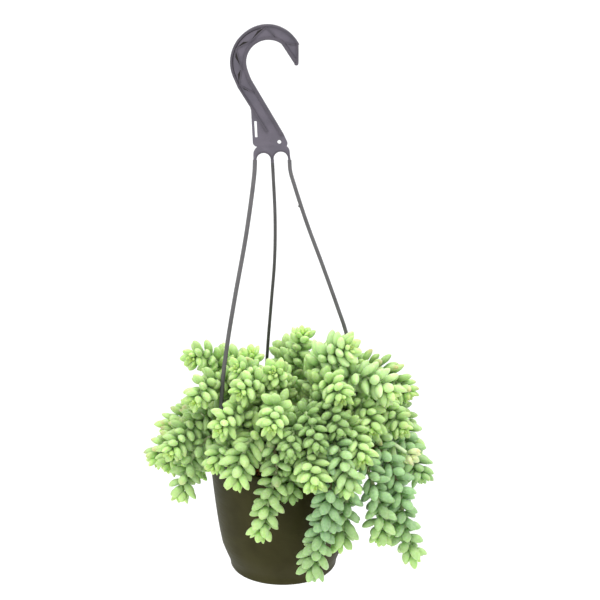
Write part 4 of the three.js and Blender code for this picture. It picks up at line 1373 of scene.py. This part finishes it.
@dataclass
class Tail:
    """One leafy stem: a tapering stem with leaves set round it in a spiral."""

    plan: TailPlan
    number: int
    turn: float = 137.508
    socket: float = 16.0
    straight: float = 12.0
    bare: float = 26.0
    tip_length: float = 10.0
    budding: int = 12
    young: int = 20
    pale_length: float = 50.0
    pale_leaves: int = 48
    stem_radius: float = 1.9
    tip_radius: float = 0.9
    tip_step: float = 0.35
    tip_leaf: float = 3.4
    tilt: float = 71.0
    tip_tilt: float = 8.0
    tip_width: float = 0.6
    young_width: float = 0.8
    bark_length: float = 90.0
    neck: tuple[float, float] = (9.0, 34.0)
    neck_keeps: int = 5
    depth_share: float = 0.78
    leaves: list[Leaf] = field(default_factory=list)

    def __post_init__(self) -> None:
        """Draws the stem's line and sets the places of its leaves."""
        x, y = polar(self.plan.angle, self.plan.distance)
        foot = [(x, y, MIX_TOP + rise) for rise in (-self.socket, 0, self.straight)]
        self.line = Line([*foot, *self.plan.passes], 0.5)
        self.draw = np.random.default_rng(1000 + self.number)
        self.places: list[float] = []
        back = 0.5
        while self.line.length - back > self.socket + self.bare:
            back += mix(self.tip_step, self.plan.habit.value, clamp(len(self.places) / self.young) ** 1.5)
            self.places.append(self.line.length - back)

    def stem_balls(self) -> list[Ball]:
        """Balls along the stem."""
        return [(*point, self.stem_radius + 0.5, self.number, 0.0) for point in self.line.points[::4]]

    def shaped(self, index: int, scale: float, lean: float, jitter: Array) -> Leaf:
        """The leaf at one place of the spiral.

        Args:
            index: The leaf's number, counted back from the tip.
            scale: Its size against a full one.
            lean: How many degrees further it stands off.
            jitter: Six random numbers from -1 to 1.

        Returns:
            The leaf.
        """
        place = self.places[index]
        full = clamp((index - 1) / self.budding)
        full = full * full * (3 - 2 * full)
        spread = clamp(index / self.young)
        point, along, side, across = self.line.at(place)
        angle = math.radians(index * self.turn + self.number * 47 + jitter[0] * 9)
        away = side * math.cos(angle) + across * math.sin(angle)
        tilt = math.radians(mix(self.tip_tilt, self.tilt, spread**0.45) + lean + jitter[1] * 9 * spread)
        spine = along * math.cos(tilt) + away * math.sin(tilt)
        sideways = np.cross(along, away)
        tone = self.plan.tone.value
        length = mix(self.tip_leaf, tone.leaf_length, full) * scale * (1 + jitter[2] * 0.12)
        width = mix(self.tip_leaf * self.tip_width, tone.leaf_width, full)
        width *= mix(1.0, scale, 0.6) * mix(self.young_width, 1.0, spread) * (1 + jitter[3] * 0.07)
        depth = width * self.depth_share
        root = point + away * mix(0.3, self.stem_radius - 0.7, spread)
        bend = mix(0.2, 0.11, spread) + jitter[4] * 0.08
        upper = np.cross(spine, sideways)
        roll = jitter[5] * 0.3
        sideways, upper = (
            sideways * math.cos(roll) + upper * math.sin(roll),
            upper * math.cos(roll) - sideways * math.sin(roll),
        )
        # A late tip age is partly painted shade: it ages the colour of the leaves of tails that sit in shade.
        age = max(index / self.pale_leaves, (self.line.length - place) / self.pale_length, tone.tip_age_and_painted_shade)
        return Leaf(root, spine, sideways, upper, length, width, depth, bend, clamp(age))

    def balls(self, leaf: Leaf, form: LeafForm) -> list[Ball]:
        """Balls that fill a leaf.

        Args:
            leaf: The leaf.
            form: The form of its kind.

        Returns:
            The balls, from its root to its tip.
        """
        found = []
        for share in (0.3, 0.5, 0.68, 0.84, 0.96):
            lift = leaf.bend * leaf.length * share**2
            centre = leaf.root + leaf.spine * (leaf.length * share) + leaf.upper * lift
            radius = (leaf.width + leaf.depth) / 4 * form.girth(share)
            found.append((*centre, radius, self.number, share))
        return found

    def bare_neck_at(self, index: int) -> bool:
        """Tells whether a place of the spiral lies on a bare neck, which keeps one leaf in five.

        Args:
            index: The place's number, counted back from the tip.

        Returns:
            True if no leaf grows there.
        """
        back = self.line.length - self.places[index]
        on_neck = self.plan.habit is Habit.BARE_NECK and self.neck[0] < back < self.neck[1]
        return on_neck and index % self.neck_keeps != 0

    def build(self, form: LeafForm, skins: tuple[bpy.types.Material, ...]) -> bpy.types.Object:
        """Makes the tail's mesh.

        Args:
            form: The form of its leaves.
            skins: The leaves' material, and the stem's.

        Returns:
            The new object.
        """
        shell = Shell(f"leafy_tail_{self.plan.name}")
        template, faces, reach = form.template()
        tone = self.plan.tone.value
        for leaf in self.leaves:
            sideways, up, along = template.T
            lift = leaf.bend * leaf.length * along**2
            points = (
                leaf.root
                + np.outer(sideways * leaf.width / 2, leaf.sideways)
                + np.outer(up * leaf.depth / 2 + lift, leaf.upper)
                + np.outer(along * leaf.length, leaf.spine)
            )
            rosy = tone.blush if self.draw.random() < tone.blush else 0.0
            bloom = clamp(tone.bloom + self.draw.uniform(-0.12, 0.12))
            # Painted shade: a late tip age also darkens the tail's leaves.
            light = self.draw.random() * (1 - tone.tip_age_and_painted_shade)
            rosy *= self.draw.uniform(0.3, 1.0)
            shell.add(points, faces, 0, age=leaf.age, bloom=bloom, tone=light, reach=reach, blush=rosy)
        back = self.line.length - self.line.places
        old, fresh = np.clip(back / self.bark_length, 0, 1), np.clip(back / self.tip_length, 0, 1)
        girth = self.tip_radius + (self.stem_radius - self.tip_radius) * fresh**0.6
        girth = girth * (1 + 0.06 * np.sin(self.line.places * 2.1))
        rings = self.line.swept(np.array([polar(i * 45, 1.0) for i in range(8)]), girth, 3)
        shell.add(rings, tube_faces(len(rings) // 8, 8), 1, age=np.repeat(old[::3], 8))
        return shell.build(list(skins))


@dataclass
class Foliage:
    """All the tails, whose leaves grow without cutting through each other."""

    pot: Pot
    hanger: Hanger
    form: LeafForm = field(default_factory=LeafForm)
    mix_height: float = MIX_TOP + 1.5
    lowest: float = 3.0
    near_pot: float = 12.0
    strand_ball: float = 3.0
    clip_ball: float = 6.5
    squeeze: float = 0.7
    own_squeeze: float = 0.46
    tries: tuple[tuple[float, float], ...] = (
        (1, 0), (1, 9), (0.92, -9), (0.9, 16), (0.84, 0), (0.84, -16), (0.76, 12), (0.76, -22), (0.68, 0),
        (0.68, 24), (0.6, -14), (0.6, -30), (0.52, 6), (0.5, 26), (0.46, -26), (0.42, 0))

    def blocked_by_pot(self, ball: Ball, wall: Array) -> bool:
        """Tells whether a ball touches the pot or the mix, or hangs lower than the pot's underside.

        Args:
            ball: The ball.
            wall: The pot's silhouette.

        Returns:
            True if it does.
        """
        x, y, z, radius = ball[:4]
        radial = math.hypot(x, y)
        if z - radius < self.lowest or (radial < self.pot.wall_top_radius and z - radius < self.mix_height):
            return True
        if z > self.pot.height + self.near_pot or radial > self.pot.rim_radius + self.near_pot:
            return False
        start, end = wall[:-1], wall[1:]
        run = end - start
        share = np.clip(((np.array([radial, z]) - start) * run).sum(1) / (run**2).sum(1), 0, 1)
        near = start + run * share[:, None]
        return bool(np.hypot(near[:, 0] - radial, near[:, 1] - z).min() < radius + 0.4)

    def grow(self) -> list[Tail]:
        """Grows every tail's leaves, from all the tips backwards.

        Returns:
            The tails.
        """
        tails = [Tail(plan, number) for number, plan in enumerate(TAILS)]
        crowd = Crowd()
        for tail in tails:
            for ball in tail.stem_balls():
                crowd.add(ball)
        for strand in STRANDS:
            for point in self.hanger.strand_line(strand).points:
                crowd.add((*point, self.strand_ball, -1, 0.0))
            x, y = polar(strand.angle, self.pot.rim_radius - 2)
            crowd.add((x, y, self.pot.height - 2, self.clip_ball, -1, 0.0))
        wall = np.array(self.pot.silhouette(), float)
        for index in range(max(len(tail.places) for tail in tails)):
            for tail in tails:
                if index < len(tail.places):
                    self.grow_leaf(tail, index, crowd, wall)
        return tails

    def grow_leaf(self, tail: Tail, index: int, crowd: Crowd, wall: Array) -> None:
        """Grows one leaf at the first size and lean that leaves its neighbours room.

        Args:
            tail: The tail that it grows on.
            index: Its number, counted back from the tip.
            crowd: What fills the space already.
            wall: The pot's silhouette.
        """
        jitter = tail.draw.uniform(-1, 1, 6)
        if tail.bare_neck_at(index):
            return
        for scale, lean in self.tries:
            leaf = tail.shaped(index, scale, lean, jitter)
            balls = tail.balls(leaf, self.form)
            if any(
                self.blocked_by_pot(ball, wall) or crowd.meets(ball, self.squeeze, self.own_squeeze)
                for ball in balls
            ):
                continue
            tail.leaves.append(leaf)
            for ball in balls:
                crowd.add(ball)
            return


# ---------------------------------------------------------------- studio


@dataclass
class Studio:
    """A pale sweep, soft lights and the camera, placed in metres in the row frame."""

    floor: float = -1.05
    reach: float = 4.0
    back: float = 1.6
    bend: float = 0.8
    air: str = "#f6f8fb"
    air_strength: float = 0.82
    lights: tuple[tuple[str, tuple[float, float, float], float, float], ...] = (
        ("key_softbox", (0.75, -0.9, 1.5), 2.0, 20),
        ("top_softbox", (0.4, 0.25, 1.65), 1.6, 26),
        ("fill_softbox", (-1.5, -1.2, 0.5), 1.6, 14),
    )
    lit_point: tuple[float, float, float] = (0.01, 0, -0.4)
    lens: float = 85.08
    place: tuple[float, float, float] = (0.02874, -1.312, 0.1425)
    pitch: float = 73.4

    def add_sweep(self, paint: bpy.types.Material) -> None:
        """Adds the floor, which curves up into a backdrop.

        Args:
            paint: Its material.
        """
        line = [(-self.reach, self.floor), (self.back, self.floor)]
        for i in range(1, 13):
            dy, dz = polar(-90 + i * 7.5, self.bend)
            line.append((self.back + dy, self.floor + self.bend + dz))
        line.append((self.back + self.bend, self.floor + self.reach))
        points = [(x, y, z) for y, z in line for x in (-self.reach, self.reach)]
        faces = [(2 * i, 2 * i + 1, 2 * i + 3, 2 * i + 2) for i in range(len(line) - 1)]
        mesh = bpy.data.meshes.new("studio_sweep")
        mesh.from_pydata(points, [], faces)
        mesh.materials.append(paint)
        mesh.polygons.foreach_set("use_smooth", [True] * len(faces))
        sweep = bpy.data.objects.new("studio_sweep", mesh)
        bpy.context.scene.collection.objects.link(sweep)

    def add_light(self, name: str, place: tuple[float, float, float], size: float, watts: float) -> None:
        """Adds a square soft light that faces the plant.

        Args:
            name: The light's name.
            place: Where it hangs, in metres.
            size: The side of its square.
            watts: Its power.
        """
        data = bpy.data.lights.new(name, "AREA")
        data.size, data.energy = size, watts
        light = bpy.data.objects.new(name, data)
        light.location = place
        aim = Vector(self.lit_point) - Vector(place)
        light.rotation_euler = aim.to_track_quat("-Z", "Y").to_euler()
        bpy.context.scene.collection.objects.link(light)

    def build(self) -> None:
        """Sets up the sweep, the lights and the camera."""
        self.add_sweep(MattePaint().build())
        for name, place, size, watts in self.lights:
            self.add_light(name, place, size, watts)
        world = bpy.data.worlds.new("studio_air")
        world.use_nodes = True
        air = {"Color": linear(self.air), "Strength": self.air_strength}
        set_up(world.node_tree, world.node_tree.nodes["Background"], air, {})
        bpy.context.scene.world = world
        bpy.context.scene.view_settings.view_transform = "Standard"
        camera = bpy.data.cameras.new("camera")
        camera.sensor_width, camera.lens = 36.0, self.lens
        camera.clip_start, camera.clip_end = 0.05, 30.0
        eye = bpy.data.objects.new("camera", camera)
        eye.location = self.place
        eye.rotation_euler = (math.radians(self.pitch), 0, 0)
        bpy.context.scene.collection.objects.link(eye)
        bpy.context.scene.camera = eye


def main() -> None:
    """Builds the studio, the pot, the mix, the hanger and the tails in turn."""
    Studio().build()
    pot = Pot()
    dark = MouldedPolypropylene("pot_polypropylene_moulded", "#3d3a20", "#35321a", "#544e37", gloss=0.06)
    take(pot.build(dark.build()), "pot")
    take(PottingMix(pot).build(PeatAndBark().build()), "potting_mix")
    hanger = Hanger(pot)
    grey = MouldedPolypropylene(
        "hanger_polypropylene_moulded", "#6a646e", "#5f5b64", "#87828c", roughness=0.42, cloud_mm=14.0)
    # The strands' plastic, which carries their painted shade.
    strand_plastic = MouldedPolypropylene(
        "strand_polypropylene_painted_shade", "#6c6a6b", "#5f5d5e", "#878586", roughness=0.5, cloud_mm=22.0)
    take(hanger.build([grey.build(), strand_plastic.build()]), "hanger")
    foliage = Foliage(pot, hanger)
    drawn = WaxyLeaf(
        "waxy_succulent_leaf_grown_in_shade", "#e3eaa4", "#eaf2b6", "#d6eaa8", "#b9d592", "#a9c683")
    # Lit and shaded copies of the grown leaf: painted light and painted shade.
    painted_light_leaf = WaxyLeaf(
        "waxy_succulent_leaf_painted_light", "#b2d056", "#c4e28e", "#cae6a4", "#bedd96", "#b2d086", "#a4ca9c")
    painted_shade_leaf = WaxyLeaf(
        "waxy_succulent_leaf_painted_shade", "#97b843", "#a8c866", "#abc672", "#90b15e", "#86a353", "#7ca56e")
    stem = GreenStem().build()
    green = (WaxyLeaf().build(), stem)
    skins = {Tone.SUNLIT: (painted_light_leaf.build(), stem), Tone.SHADED: (painted_shade_leaf.build(), stem)}
    bare = (drawn.build(), GreenStem("succulent_stem_grown_in_shade", "#e0f2c0").build())
    for tail in foliage.grow():
        plan = tail.plan
        skin = bare if plan.habit is Habit.BARE_NECK else skins.get(plan.tone, green)
        take(tail.build(foliage.form, skin), f"tail_{plan.name}")
    log.info("the plant is built")


if __name__ == "__main__":
    main()
